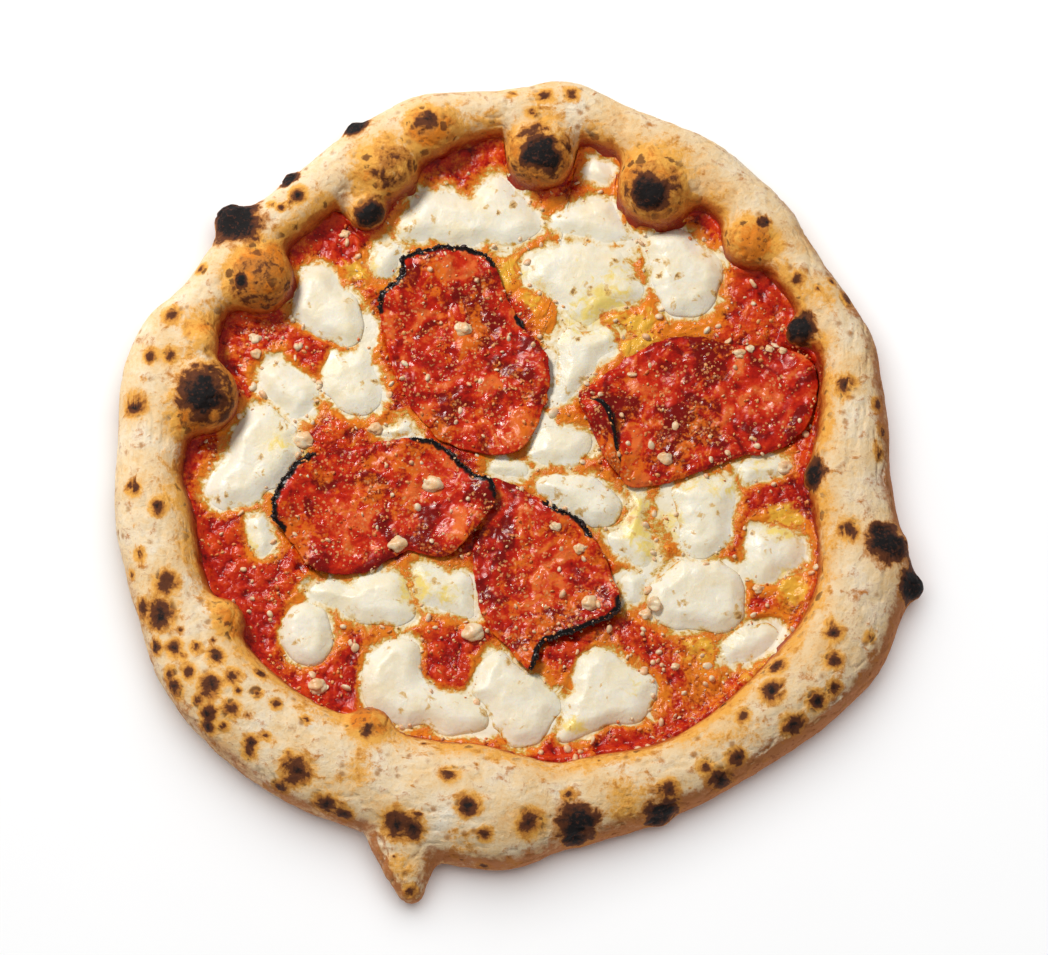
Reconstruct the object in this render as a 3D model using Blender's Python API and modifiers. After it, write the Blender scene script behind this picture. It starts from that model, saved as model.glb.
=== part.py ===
"""A diavola pizza: puffed and blistered crust, a bed of tomato sauce, torn mozzarella, four slices of salami.

The pizza lies flat with +Z up. The origin is on the underside, below the middle of the base, and angles run
counter-clockwise from +X. Lengths in the tables are millimetres.
"""

import math

import bmesh
import bpy
import numpy as np
from mathutils import Matrix, Vector, noise

MM = 0.001
SHARP_ANGLE = math.radians(50)

# Dough
BASE_TOP = 3.5
BELLY_HEIGHT = 9.5
FOOT_ROUND = 7.0
CREST_AT_NO_WIDTH = 14.0
CREST_PER_WIDTH = 0.27
CREST_PLACE = 0.53
CREST_WANDER = 1.1
CREST_WANDER_GRAIN = 2.2
CREST_WANDER_SEED = 5.0
TOE_LEAN = 1.2
SHOULDER_POWER = 2.25
# The section's stations: heights up the outer side, turns over the crest in degrees, heights down the inner
OUTER_HEIGHTS = (0.0, 1.4, 4.2)
CREST_TURNS = (0, 22, 42, 62, 80, 98, 116, 132, 148, 164, 180)
INNER_HEIGHTS = (7.0, BASE_TOP)
RIM_SPOKES = 180
# The bubbles melt into the rim on a fine even skin, which is then thinned where it is nearly flat
SKIN_STEP = 1.5
SKIN_ROUNDING = 11
CRUST_TRIANGLES = 6800
SWELLING_SEGMENTS = 24
FLOOR_SNAP = 0.6

# Rim reach and the foot of its inner side, every 7.5 degrees
RIM_REACH = (
    145.8, 146.2, 147, 149.4, 147.4, 146.8, 151, 152.5, 154.7, 153.8, 154.7, 160,
    156, 155.6, 157.6, 154.2, 151, 148.2, 150, 151, 150.8, 158.4, 160, 157,
    157.3, 158.6, 158.5, 159.6, 162.6, 163.6, 162.3, 160.9, 158.6, 156.2, 158, 159.6,
    159, 152.3, 151.5, 151, 150.8, 152.2, 155, 159.3, 162.2, 160.8, 160, 150,
)
RIM_TOE = (
    112, 116, 121, 126, 126, 126, 127, 128, 129, 130, 134, 136,
    137, 134, 131, 129, 128, 126.5, 127, 128, 129, 129, 129, 128,
    130, 126.5, 127.5, 128, 126.5, 124, 122, 119, 115, 113, 111, 108.5,
    112, 116.5, 116, 119.5, 121, 121.5, 121, 122, 123.5, 123.5, 120, 115,
)

# Bubbles blown in the rim: centre x, y, z and radius
BUBBLES = (
    (8.6, 128, 11, 14),
    (54.2, 115, 10.5, 16),
    (91.3, 94, 10, 12.5),
    (-52.7, 124, 10.5, 14.8),
    (-58.9, 106, 9, 8.3),
    (-33.5, 139, 13, 12.5),
    (-101.4, 78, 11, 14.4),
    (-123, 30, 12, 15),
    (-125, 50.5, 15, 9),
    (-115.4, -61, 12.5, 10),
    (-57.7, -105.5, 14.5, 10),
    (-110.5, 100.5, 10, 8.8),
    (-88.5, 117, 11, 4),
    (-63.5, 137.5, 11, 4.5),
    (143, -32, 14, 10),
    (152, -46, 9, 6.3),
    (22, -141.5, 9, 9.5),
    (54, -135.5, 8.5, 7),
    (-3, -152, 8, 6.5),
    (110, 57, 9, 6),
    (117, -2, 9.5, 6.5),
)
# A tail of dough pulled out of the rim, narrowing to its tip: centre and half sizes of each swelling along it
TAIL = (
    ((-44, -146.5, 9.5), (15, 13, 9.2)),
    ((-43, -157, 8.5), (11, 11, 8.2)),
    ((-41.5, -166.5, 7), (6.8, 7.2, 6.5)),
)

# Sauce
SAUCE_BOTTOM = 3.8
SAUCE_TOP = 5.2
SAUCE_DIP = 0.9
SAUCE_EDGE_GAP = 2.3
SAUCE_UNDERCUT = 2.2
SAUCE_SPOKES = 90
SAUCE_RINGS = 7
SAUCE_GRAIN = 0.11
SAUCE_SEED = 2.0
SAUCE_NEAREST = 90.0
SAUCE_FURTHEST = 140.0
# The edge keeps clear of the dough for this many spokes to either side, so that its straight sides do too
EDGE_LOOK_ROUND = (-0.5, -0.25, 0.0, 0.25, 0.5)
COVERED_MARGIN = 1.0

# Toppings
TOPPING_BOTTOM = 5.5
CLEAR_HEIGHT = 7.5
SIDE_GAP = 0.9
DOUGH_GAP = 1.6
MARCH_STEP = 0.25
MARCH_REACH = 60.0

# Mozzarella: the middle that each piece spreads from, then the dollops that melted together (x, y, radius)
MOZZARELLA_SEGMENT = 7.5
MOZZARELLA_RINGS = 5
MOZZARELLA_FEWEST = 12
# The widest ring's height as a share of the thickness, and how far the rings below it pull in under the edge
MOZZARELLA_EDGE = 0.38
MOZZARELLA_UNDERCUT = 0.94
MOZZARELLA_FOOT = 0.6
DOME_POWER = 0.5
AT_THE_EDGE = 0.01
FOOT_RING = 0.8
DOLLOP_MELT = 5.0
MOZZARELLA = (
    (
        (-20, 103, 3.2),
        ((-7, 110, 12), (-6, 101, 10), (-21, 102, 11.5), (-32, 107, 10), (-41, 100, 8), (3, 103, 8)),
    ),
    ((-53, 86, 2.4), ((-54, 86, 7), (-48, 92, 5))),
    ((30, 101, 2.2), ((20, 103, 8), (33, 103, 10), (44, 99, 7))),
    ((22, 78, 2.6), ((14, 82, 12), (30, 84, 13), (40, 76, 10), (26, 70, 10))),
    ((27, 50, 2.4), ((24, 53, 10), (33, 55, 8), (22, 42, 8), (19, 34, 6))),
    ((14, 11, 2.6), ((10, 12, 9), (20, 11, 8), (24, 15, 5))),
    ((23, -11, 3.4), ((14, -7, 9), (27, -10, 10), (33, -14, 8))),
    ((-5, 2, 1.8), ((-8, 4, 5), (0, 2, 5))),
    ((64, 81, 3.6), ((62, 88, 11.5), (66, 76, 13), (71, 84, 9), (56, 93, 6))),
    ((31, 122.5, 2.0), ((30.5, 123.5, 5), (33.5, 120.5, 4))),
    ((-76, 68, 3.2), ((-78, 76, 9.5), (-71, 65, 11), (-81, 68, 8), (-67, 57, 7))),
    ((-90, 34, 2.6), ((-94, 38, 8.5), (-86, 33, 9), (-87, 28, 6))),
    ((-64, 38, 3.0), ((-66, 46, 10), (-62, 34, 10), (-69, 38, 8))),
    ((-104, 6, 3.2), ((-108, -2, 12), (-99, 14, 13), (-92, 4, 10), (-115, -6, 8), (-96, 22, 8))),
    ((-47, 18.5, 1.6), ((-52, 17.5, 4.5), (-44, 19, 4.5))),
    ((-100, -24, 2.0), ((-101, -20, 6), (-99, -28, 6))),
    ((-62, -48, 3.0), ((-75, -47, 7), (-60, -50, 10), (-48, -54, 9), (-50, -46, 8))),
    ((-30, -46, 2.2), ((-36, -45, 10), (-24, -47, 9), (-20, -54, 6))),
    ((-82, -63.5, 3.6), ((-82.5, -60.5, 9.8), (-81, -67.5, 9.2))),
    (
        (-42, -89, 3.4),
        ((-50, -77, 10), (-45, -74, 8.5), (-53, -87, 8), (-42, -91, 11), (-27, -96, 10), (-18, -97, 8)),
    ),
    ((-2, -90, 3.4), ((-7, -80, 10), (1, -88, 11), (2, -99, 11), (-11, -91, 8), (10, -92, 7))),
    ((34, -88, 3.4), ((24, -96, 9), (34, -88, 12), (46, -86, 9), (31, -77, 9), (44, -95, 6), (19, -104, 5))),
    ((46, -22, 2.4), ((46, -12, 8), (44, -24, 9), (48, -32, 7))),
    ((72, -12, 2.8), ((66, -6, 8), (78, -8, 9), (72, -17, 10), (70, -27, 8), (78, -24, 7))),
    ((70, -50, 3.6), ((63, -50, 13), (76, -50, 13), (72, -44, 12), (80, -56, 7))),
    ((99, -31, 2.8), ((94, -28, 8), (103, -26, 8), (97, -37, 8), (106, -34, 6))),
    ((94, 1, 2.2), ((90, 1, 6), (98, 3, 6))),
    ((89, -68, 2.4), ((86, -67, 8), (95, -66, 7), (83, -72, 5))),
    ((45, -46, 2.0), ((42, -46, 6), (48, -44, 6))),
)

# Salami: outline (clockwise from above), middle, and where the slice lifts off (x, y, radius, height)
SLICE_THICKNESS = 1.4
SLICE_SEGMENTS = 30
SLICE_RINGS = 4
SLICE_WAVE = 0.7
SLICE_GRAIN = 0.07
SLICE_SEED = 10.0
SLICE_RING_POWER = 0.8
SALAMI = (
    {
        "outline": (
            (-54, 71), (-46, 79), (-44, 88), (-28, 91.5), (-12, 88), (-5, 73), (3, 59), (11, 48), (11.5, 31),
            (3, 12), (-8, 8), (-30, 14), (-44, 32), (-51, 51),
        ),
        "middle": (-22, 50),
        "lifts": ((-50, 76, 14, 4), (-28, 92, 12, 3.5), (-9, 84, 9, 2.5), (13, 44, 11, 2), (1, 8, 9, 2)),
    },
    {
        "outline": (
            (24, 30), (30, 37), (51, 52), (67, 55.5), (85, 52.5), (105, 50.5), (116, 42), (114, 22),
            (102, 10), (86, 7), (71, 1), (56, -4), (42, -4), (38, 8), (31, 20),
        ),
        "middle": (72, 26),
        "lifts": ((27, 24, 9, 6), (38, 5, 8, 4), (117, 44, 12, 4), (112, 20, 10, 2), (67, 56, 13, 2.5)),
    },
    {
        "outline": (
            (-95.5, -15), (-91, -2), (-79, 8), (-58, 12), (-46, 13.5), (-31, 12), (-17, -1), (-11, -3),
            (-9, -12), (-22, -29), (-31, -33), (-44, -31), (-58, -39), (-78, -39), (-90, -25),
        ),
        "middle": (-54, -12),
        "lifts": (
            (-95, -12, 12, 4.5), (-84, 6, 10, 3), (-42, 14, 12, 3), (-12, -5, 11, 6), (-17, -25, 10, 4.5),
            (-80, -39, 10, 2),
        ),
    },
    {
        "outline": (
            (-14, -4), (-4, -3), (14, -13.5), (25, -20), (34, -34), (39.5, -51), (37.5, -57), (21, -64),
            (10, -68), (5, -79), (-4, -70), (-13, -58), (-17, -42), (-17, -24),
        ),
        "middle": (10, -38),
        "lifts": ((17, -14, 10, 3), (32, -28, 9, 3.5), (41, -54, 10, 3.5), (6, -78, 9, 3), (24, -65, 8, 2.5)),
    },
)
CHEESE_ON_SLICES = (
    (0, -21.5, 59, 3.1, 2.6),
    (0, -10, 40, 2.4, 1.8),
    (1, 86.5, 48.5, 2.2, 1.9),
    (1, 57, 6.5, 2.7, 2.5),
    (1, 70, 24, 2.2, 1.8),
    (2, -33, -3.5, 4, 1.8),
    (2, -47, -27.5, 3.9, 2.2),
    (2, -72, -16, 2.6, 2),
    (3, 28, -51.5, 3.9, 2.1),
    (3, 14.5, -20.5, 2.3, 2),
    (3, 24, -30, 2.3, 2.2),
)
CRUMB_RISE = 1.6

# Lumps of tomato and grains of cheese on the open sauce: x, y, half length, half width
SAUCE_LUMPS = (
    (-68, 98, 5, 3.5), (-77, 91, 4, 3), (88, 78, 5, 3.5), (96, 70, 4, 3), (-84, 54, 5, 3.5),
    (-97, 54, 4, 2.6), (-114, -30, 4.5, 3.5), (-108, -42, 5, 3.5), (-100, -58, 4, 3), (-70, -82, 4.5, 3.2),
    (-56, -66, 4, 3),
    (-22, -68, 4.5, 3), (16, -77, 4, 2.6), (60, -74, 4.5, 3.2), (66, -86, 4, 3), (90, -26, 3.4, 3),
    (-62, 14, 4, 3), (-33, -64, 3.9, 3.5), (54, -60, 3.9, 2.3),
)
LUMP_RISE = 1.3
LUMP_MIDDLE = 4.85
LUMP_TURN = 1.3
SMALLEST_LUMP = 0.35


def clear_scene():
    """Removes every object, so that the pizza is alone in the file."""
    for thing in list(bpy.data.objects):
        bpy.data.objects.remove(thing, do_unlink=True)


def make_collection(name):
    """A new collection in the scene."""
    collection = bpy.data.collections.new(name)
    bpy.context.scene.collection.children.link(collection)
    return collection


def make_material(name, colour, roughness):
    """A Principled material of one colour."""
    material = bpy.data.materials.new(name)
    material.use_nodes = True
    shader = material.node_tree.nodes["Principled BSDF"]
    shader.inputs["Base Color"].default_value = (*colour, 1.0)
    shader.inputs["Roughness"].default_value = roughness
    shader.inputs["Metallic"].default_value = 0.0
    return material


def add_object(name, mesh, collection, material=None):
    """An object for a mesh that is drawn in millimetres; its size becomes metres here."""
    mesh.transform(Matrix.Scale(MM, 4))
    thing = bpy.data.objects.new(name, mesh)
    collection.objects.link(thing)
    if material:
        mesh.materials.append(material)
    return thing


def finish_bmesh(bm, name, closed=True):
    """Turns a bmesh into a mesh, smooth but for its sharp edges; a closed one has its faces point out."""
    if closed:
        bmesh.ops.recalc_face_normals(bm, faces=bm.faces)
    mesh = bpy.data.meshes.new(name)
    bm.to_mesh(mesh)
    bm.free()
    mesh.shade_smooth()
    mesh.set_sharp_from_angle(angle=SHARP_ANGLE)
    return mesh


def ring_value(table, angle):
    """The value of an evenly spaced closed table at an angle, on a smooth curve through its entries."""
    place = (angle / math.tau * len(table)) % len(table)
    index = int(place)
    part = place - index
    before, here, after, later = (table[(index + step) % len(table)] for step in (-1, 0, 1, 2))
    bend = 2 * before - 5 * here + 4 * after - later
    twist = 3 * (here - after) + later - before
    return here + 0.5 * part * (after - before + part * (bend + part * twist))


def smooth_outline(points, count):
    """Points spread along a closed smooth curve through the given ones."""
    xs = [point[0] for point in points]
    ys = [point[1] for point in points]
    angles = [math.tau * step / count for step in range(count)]
    return np.array([(ring_value(xs, angle), ring_value(ys, angle)) for angle in angles])


def polygon_distance(points, polygon):
    """Distance from each point to a polygon, negative inside it."""
    start = polygon
    end = np.roll(polygon, -1, axis=0)
    side = end - start
    away = points[:, None, :] - start[None, :, :]
    along = np.clip((away * side).sum(axis=2) / (side * side).sum(axis=1), 0.0, 1.0)
    nearest = np.linalg.norm(away - along[:, :, None] * side, axis=2).min(axis=1)
    px, py = points[:, 0, None], points[:, 1, None]
    crosses = (start[:, 1] > py) != (end[:, 1] > py)
    rise = np.where(side[:, 1] == 0, 1e-9, side[:, 1])
    at = start[:, 0] + (py - start[:, 1]) / rise * side[:, 0]
    inside = (crosses & (px < at)).sum(axis=1) % 2 == 1
    return np.where(inside, -nearest, nearest)


def dollop_distance(points, dollops):
    """Distance to dollops that have melted together, negative inside them."""
    total = None
    for x, y, radius in dollops:
        one = np.hypot(points[:, 0] - x, points[:, 1] - y) - radius
        if total is None:
            total = one
            continue
        share = np.clip(0.5 + 0.5 * (total - one) / DOLLOP_MELT, 0.0, 1.0)
        total = total * (1 - share) + one * share - DOLLOP_MELT * share * (1 - share)
    return total


def rim_and_bubble_room(points, height):
    """Distance from each point to the rim's foot or to a bubble at that height, negative inside the dough."""
    room = np.array([ring_value(RIM_TOE, math.atan2(y, x)) - math.hypot(x, y) for x, y in points])
    for x, y, z, radius in BUBBLES:
        reach = math.sqrt(max(radius**2 - (z - height) ** 2, 0.0)) if z > height else radius
        room = np.minimum(room, np.hypot(points[:, 0] - x, points[:, 1] - y) - reach)
    return room


def rim_section(angle):
    """The rim's section, as points from the underside up its outer side, over the crest and down inside."""
    reach = ring_value(RIM_REACH, angle)
    toe = ring_value(RIM_TOE, angle)
    width = reach - toe
    drift = CREST_WANDER_GRAIN * Vector((math.cos(angle), math.sin(angle), 0.0))
    wander = noise.noise(drift + Vector((0.0, 0.0, CREST_WANDER_SEED)))
    crest = CREST_AT_NO_WIDTH + CREST_PER_WIDTH * width + CREST_WANDER * wander
    core = toe + CREST_PLACE * width
    section = []
    for height in OUTER_HEIGHTS:
        drop = 1 - height / BELLY_HEIGHT
        section.append((reach - FOOT_ROUND * (1 - math.sqrt(1 - drop**2)), height))
    for degrees in CREST_TURNS:
        turn = math.radians(degrees)
        across = reach - core if degrees < 90 else core - toe - TOE_LEAN
        flat = abs(math.cos(turn)) / across
        tall = math.sin(turn) / (crest - BELLY_HEIGHT)
        distance = (flat**SHOULDER_POWER + tall**SHOULDER_POWER) ** (-1 / SHOULDER_POWER)
        section.append((core + distance * math.cos(turn), BELLY_HEIGHT + distance * math.sin(turn)))
    for height in INNER_HEIGHTS:
        section.append((toe + TOE_LEAN * (height - BASE_TOP) / (BELLY_HEIGHT - BASE_TOP), height))
    return [(away * math.cos(angle), away * math.sin(angle), height) for away, height in section]


def loft_rings(bm, rings):
    """Closes a stack of equal rings of vertices into a skin, with a flat cap on the first and the last."""
    for lower, upper in zip(rings, rings[1:]):
        for index, vertex in enumerate(lower):
            after = (index + 1) % len(lower)
            bm.faces.new((vertex, lower[after], upper[after], upper[index]))
    bm.faces.new(reversed(rings[0]))
    bm.faces.new(rings[-1])


def join_by_union(body, extras):
    """Joins a collection of solids onto a body with one Boolean, applies it and removes the solids."""
    union = body.modifiers.new("join", "BOOLEAN")
    union.operation = "UNION"
    union.operand_type = "COLLECTION"
    union.collection = extras
    union.solver = "EXACT"
    graph = bpy.context.evaluated_depsgraph_get()
    joined = bpy.data.meshes.new_from_object(body.evaluated_get(graph))
    body.modifiers.clear()
    body.data = joined
    for extra in list(extras.objects):
        bpy.data.objects.remove(extra, do_unlink=True)
    bpy.data.collections.remove(extras)
    joined.set_sharp_from_angle(angle=SHARP_ANGLE)


def mark_as_cutter(thing):
    """Hides a helper solid from renders and draws it as wires."""
    thing.hide_render = True
    thing.display_type = "WIRE"


def make_crust(collection, material):
    """The base with its puffed rim, the bubbles blown in it, and the tail of dough at the near side."""
    bm = bmesh.new()
    sections = [rim_section(math.tau * spoke / RIM_SPOKES) for spoke in range(RIM_SPOKES)]
    rings = [[bm.verts.new(section[level]) for section in sections] for level in range(len(sections[0]))]
    loft_rings(bm, rings)
    swellings = [((x, y, z), (radius, radius, radius)) for x, y, z, radius in BUBBLES] + list(TAIL)
    for centre, half in swellings:
        ball = bmesh.ops.create_uvsphere(
            bm, u_segments=SWELLING_SEGMENTS, v_segments=SWELLING_SEGMENTS // 2, radius=1.0
        )
        bmesh.ops.scale(bm, verts=ball["verts"], vec=half)
        bmesh.ops.translate(bm, verts=ball["verts"], vec=centre)
    crust = add_object("crust", finish_bmesh(bm, "crust"), collection, material)

    skin = crust.modifiers.new("skin", "REMESH")
    skin.mode = "VOXEL"
    skin.voxel_size = SKIN_STEP * MM
    rounding = crust.modifiers.new("rounding", "SMOOTH")
    rounding.iterations = SKIN_ROUNDING
    apply_modifiers(crust)
    thinning = crust.modifiers.new("thinning", "DECIMATE")
    thinning.ratio = CRUST_TRIANGLES / (2 * len(crust.data.polygons))
    apply_modifiers(crust)
    for vertex in crust.data.vertices:
        if vertex.co.z < FLOOR_SNAP * MM:
            vertex.co.z = 0.0
    crust.data.shade_smooth()
    crust.data.set_sharp_from_angle(angle=SHARP_ANGLE)


def add_lump(collection, name, place, half, turn, material):
    """One small rounded lump, for joining onto what it lies on."""
    bm = bmesh.new()
    bmesh.ops.create_icosphere(bm, subdivisions=1, radius=1.0)
    bmesh.ops.scale(bm, verts=bm.verts, vec=half)
    bmesh.ops.rotate(bm, verts=bm.verts, matrix=Matrix.Rotation(turn, 3, "Z"))
    bmesh.ops.translate(bm, verts=bm.verts, vec=place)
    lump = add_object(name, finish_bmesh(bm, name), collection, material)
    mark_as_cutter(lump)


def make_sauce(collection, material, toppings):
    """The sauce: flat under the toppings and dimpled in the open, with lumps of tomato joined on."""
    bm = bmesh.new()
    top_rings = [[] for _ in range(SAUCE_RINGS)]
    bottom = []
    for spoke in range(SAUCE_SPOKES):
        angle = math.tau * spoke / SAUCE_SPOKES
        direction = np.array((math.cos(angle), math.sin(angle)))
        reach = min(sauce_reach(angle + math.tau * part / SAUCE_SPOKES) for part in EDGE_LOOK_ROUND)
        bottom.append(bm.verts.new((*((reach - SAUCE_UNDERCUT) * direction), SAUCE_BOTTOM)))
        for ring in range(SAUCE_RINGS):
            spot = reach * (1 - ring / SAUCE_RINGS) * direction
            top_rings[ring].append(bm.verts.new((*spot, sauce_height(spot, toppings))))
    for lower, upper in zip([bottom] + top_rings, top_rings):
        for index in range(SAUCE_SPOKES):
            after = (index + 1) % SAUCE_SPOKES
            bm.faces.new((lower[index], lower[after], upper[after], upper[index]))
    middle = bm.verts.new((0, 0, sauce_height(np.zeros(2), toppings)))
    for index in range(SAUCE_SPOKES):
        bm.faces.new((top_rings[-1][index], top_rings[-1][(index + 1) % SAUCE_SPOKES], middle))
    bm.faces.new(reversed(bottom))
    sauce = add_object("tomato_sauce", finish_bmesh(bm, "tomato_sauce"), collection, material)

    lumps = make_collection("lumps")
    for index, (x, y, half_length, half_width) in enumerate(SAUCE_LUMPS):
        spot = np.array([[x, y]], dtype=float)
        shrink = 1.0
        for topping in toppings:
            shrink = min(shrink, (polygon_distance(spot, topping)[0] - SIDE_GAP) / half_length)
        shrink = min(shrink, (rim_and_bubble_room(spot, SAUCE_TOP)[0] - 2 * SAUCE_EDGE_GAP) / half_length)
        if shrink < SMALLEST_LUMP:
            continue
        half = (half_length * shrink, half_width * shrink, LUMP_RISE)
        add_lump(lumps, f"lump_{index}", (x, y, LUMP_MIDDLE), half, index * LUMP_TURN, material)
    join_by_union(sauce, lumps)
    return sauce


def sauce_reach(angle):
    """How far the sauce runs out along an angle before it meets the rim or a bubble."""
    steps = np.arange(SAUCE_NEAREST, SAUCE_FURTHEST, MARCH_STEP)
    direction = np.array((math.cos(angle), math.sin(angle)))
    room = rim_and_bubble_room(steps[:, None] * direction, SAUCE_TOP)
    return steps[np.argmax(room < SAUCE_EDGE_GAP)]


def sauce_height(spot, toppings):
    """The sauce's surface height: its full level under a topping, and dimples where it is open."""
    point = spot[None, :]
    if any(polygon_distance(point, topping)[0] < COVERED_MARGIN for topping in toppings):
        return SAUCE_TOP
    dimple = noise.noise(Vector((spot[0] * SAUCE_GRAIN, spot[1] * SAUCE_GRAIN, SAUCE_SEED)))
    return SAUCE_TOP - SAUCE_DIP * (0.5 + 0.5 * dimple)


def spread_piece(middle, dollops, taken):
    """The outline that a piece of cheese melts out to before it meets a slice, another piece or the dough."""
    steps = np.arange(MARCH_STEP, MARCH_REACH, MARCH_STEP)
    around = math.tau * sum(radius for _, _, radius in dollops) / math.sqrt(len(dollops))
    count = max(MOZZARELLA_FEWEST, int(around / MOZZARELLA_SEGMENT))
    outline = []
    for index in range(count):
        angle = math.tau * index / count
        points = np.array(middle) + steps[:, None] * np.array((math.cos(angle), math.sin(angle)))
        blocked = dollop_distance(points, dollops) > 0
        blocked |= rim_and_bubble_room(points, CLEAR_HEIGHT) < DOUGH_GAP
        for polygon in taken:
            blocked |= polygon_distance(points, polygon) < SIDE_GAP
        outline.append(points[np.argmax(blocked)])
    return np.array(outline)


def make_mozzarella(collection, material, taken):
    """Each torn piece as a low dome with a rounded edge and a flat underside."""
    outlines = []
    for number, ((x, y, thickness), dollops) in enumerate(MOZZARELLA, start=1):
        outline = spread_piece((x, y), dollops, taken + outlines)
        bm = bmesh.new()
        bmesh.ops.create_uvsphere(bm, u_segments=len(outline), v_segments=MOZZARELLA_RINGS, radius=1.0)
        for vertex in bm.verts:
            flat = math.hypot(vertex.co.x, vertex.co.y)
            side = round(math.atan2(vertex.co.y, vertex.co.x) / math.tau * len(outline)) % len(outline)
            on_foot = vertex.co.z < -AT_THE_EDGE
            if on_foot:
                share = MOZZARELLA_UNDERCUT if flat > FOOT_RING else MOZZARELLA_FOOT * flat
                height = TOPPING_BOTTOM
            else:
                share = flat
                rise = max(vertex.co.z, 0.0) ** DOME_POWER
                height = TOPPING_BOTTOM + thickness * (MOZZARELLA_EDGE + (1 - MOZZARELLA_EDGE) * rise)
            spot = np.array((x, y)) + share * (outline[side] - np.array((x, y)))
            vertex.co = (spot[0], spot[1], height)
        name = f"mozzarella_{number:02d}"
        add_object(name, finish_bmesh(bm, name), collection, material)
        outlines.append(outline)
    return outlines


def slice_lift(spot, lifts, seed):
    """How far the underside of a slice stands off the pizza at a spot."""
    wave = noise.noise(Vector((spot[0] * SLICE_GRAIN, spot[1] * SLICE_GRAIN, SLICE_SEED * seed)))
    lift = SLICE_WAVE * (0.5 + 0.5 * wave)
    for x, y, radius, height in lifts:
        lift += height * math.exp(-((spot[0] - x) ** 2 + (spot[1] - y) ** 2) / radius**2)
    return lift


def make_slice(number, design, collection, material):
    """One salami slice: a thin wavy sheet with lifted edges, thickened upward, crumbs of cheese joined on."""
    outline = smooth_outline(design["outline"], SLICE_SEGMENTS)
    middle = np.array(design["middle"], dtype=float)
    bm = bmesh.new()
    rings = []
    for ring in range(1, SLICE_RINGS + 1):
        share = (ring / SLICE_RINGS) ** SLICE_RING_POWER
        spots = middle + share * (outline - middle)
        heights = [TOPPING_BOTTOM + slice_lift(spot, design["lifts"], number) for spot in spots]
        rings.append([bm.verts.new((*spot, height)) for spot, height in zip(spots, heights)])
    centre = bm.verts.new((*middle, TOPPING_BOTTOM + slice_lift(middle, design["lifts"], number)))
    for index in range(SLICE_SEGMENTS):
        after = (index + 1) % SLICE_SEGMENTS
        bm.faces.new((centre, rings[0][after], rings[0][index]))
        for inner, outer in zip(rings, rings[1:]):
            bm.faces.new((inner[index], inner[after], outer[after], outer[index]))
    name = f"salami_{number}"
    salami = add_object(name, finish_bmesh(bm, name, closed=False), collection, material)
    thicken = salami.modifiers.new("thickness", "SOLIDIFY")
    thicken.thickness = SLICE_THICKNESS * MM
    thicken.offset = 1.0
    apply_modifiers(salami)

    crumbs = make_collection("crumbs")
    for index, (on_slice, x, y, half_length, half_width) in enumerate(CHEESE_ON_SLICES):
        if on_slice + 1 != number:
            continue
        spot = np.array((x, y), dtype=float)
        top = TOPPING_BOTTOM + slice_lift(spot, design["lifts"], number) + SLICE_THICKNESS
        size = (half_length, half_width, CRUMB_RISE)
        add_lump(crumbs, f"crumb_{index}", (x, y, top), size, index, material)
    join_by_union(salami, crumbs)
    return outline


def apply_modifiers(thing):
    """Replaces an object's mesh with what its modifiers make of it."""
    graph = bpy.context.evaluated_depsgraph_get()
    mesh = bpy.data.meshes.new_from_object(thing.evaluated_get(graph))
    thing.modifiers.clear()
    thing.data = mesh


def main():
    """Builds the pizza from the base up."""
    clear_scene()
    pizza = make_collection("diavola_pizza")
    dough = make_material("baked_dough", (0.82, 0.66, 0.46), 0.75)
    tomato = make_material("tomato_sauce", (0.45, 0.045, 0.015), 0.35)
    cheese = make_material("mozzarella", (0.88, 0.82, 0.66), 0.35)
    meat = make_material("salami", (0.42, 0.05, 0.035), 0.3)
    make_crust(pizza, dough)
    slices = [make_slice(number, design, pizza, meat) for number, design in enumerate(SALAMI, start=1)]
    pieces = make_mozzarella(pizza, cheese, slices)
    make_sauce(pizza, tomato, slices + pieces)


main()
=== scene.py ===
"""Dresses a packed diavola pizza in blistered dough, pulpy sauce, melted cheese, curled salami and crumbs.

Lengths are millimetres in the pizza's own frame (+Z up, origin on the underside) until a mesh is made, which
is in metres. Places read off the picture are millimetres in the picture's plane, right and up from the
pizza's middle, and are dropped along the line of sight onto the surface that carries them.
"""

import itertools
import logging
import math
from collections.abc import Iterable, Iterator
from dataclasses import dataclass, field
from enum import Enum

import bmesh
import bpy
import numpy as np
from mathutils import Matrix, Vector
from mathutils.bvhtree import BVHTree

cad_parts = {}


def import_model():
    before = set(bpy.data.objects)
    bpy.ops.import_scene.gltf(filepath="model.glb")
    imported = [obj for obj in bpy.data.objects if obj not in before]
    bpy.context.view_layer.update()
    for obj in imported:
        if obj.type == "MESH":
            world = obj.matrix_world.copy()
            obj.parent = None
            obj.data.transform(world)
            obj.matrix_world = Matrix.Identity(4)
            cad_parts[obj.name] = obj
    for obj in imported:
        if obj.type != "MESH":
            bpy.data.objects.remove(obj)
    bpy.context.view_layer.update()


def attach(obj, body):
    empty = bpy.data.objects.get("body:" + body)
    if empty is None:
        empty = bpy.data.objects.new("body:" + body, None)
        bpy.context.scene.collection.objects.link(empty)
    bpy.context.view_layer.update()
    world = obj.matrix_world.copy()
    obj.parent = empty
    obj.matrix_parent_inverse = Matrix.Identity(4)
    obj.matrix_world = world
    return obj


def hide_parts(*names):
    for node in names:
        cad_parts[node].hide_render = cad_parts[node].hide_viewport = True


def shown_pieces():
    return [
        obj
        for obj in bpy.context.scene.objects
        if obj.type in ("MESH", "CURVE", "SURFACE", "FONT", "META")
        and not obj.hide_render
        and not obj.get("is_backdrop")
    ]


LOG = logging.getLogger("pizza")
MM = 0.001
BODY = "root"
SIGHT_ELEVATION = math.radians(75)
SIGHT = np.array((0.0, -math.cos(SIGHT_ELEVATION), math.sin(SIGHT_ELEVATION)))
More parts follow.
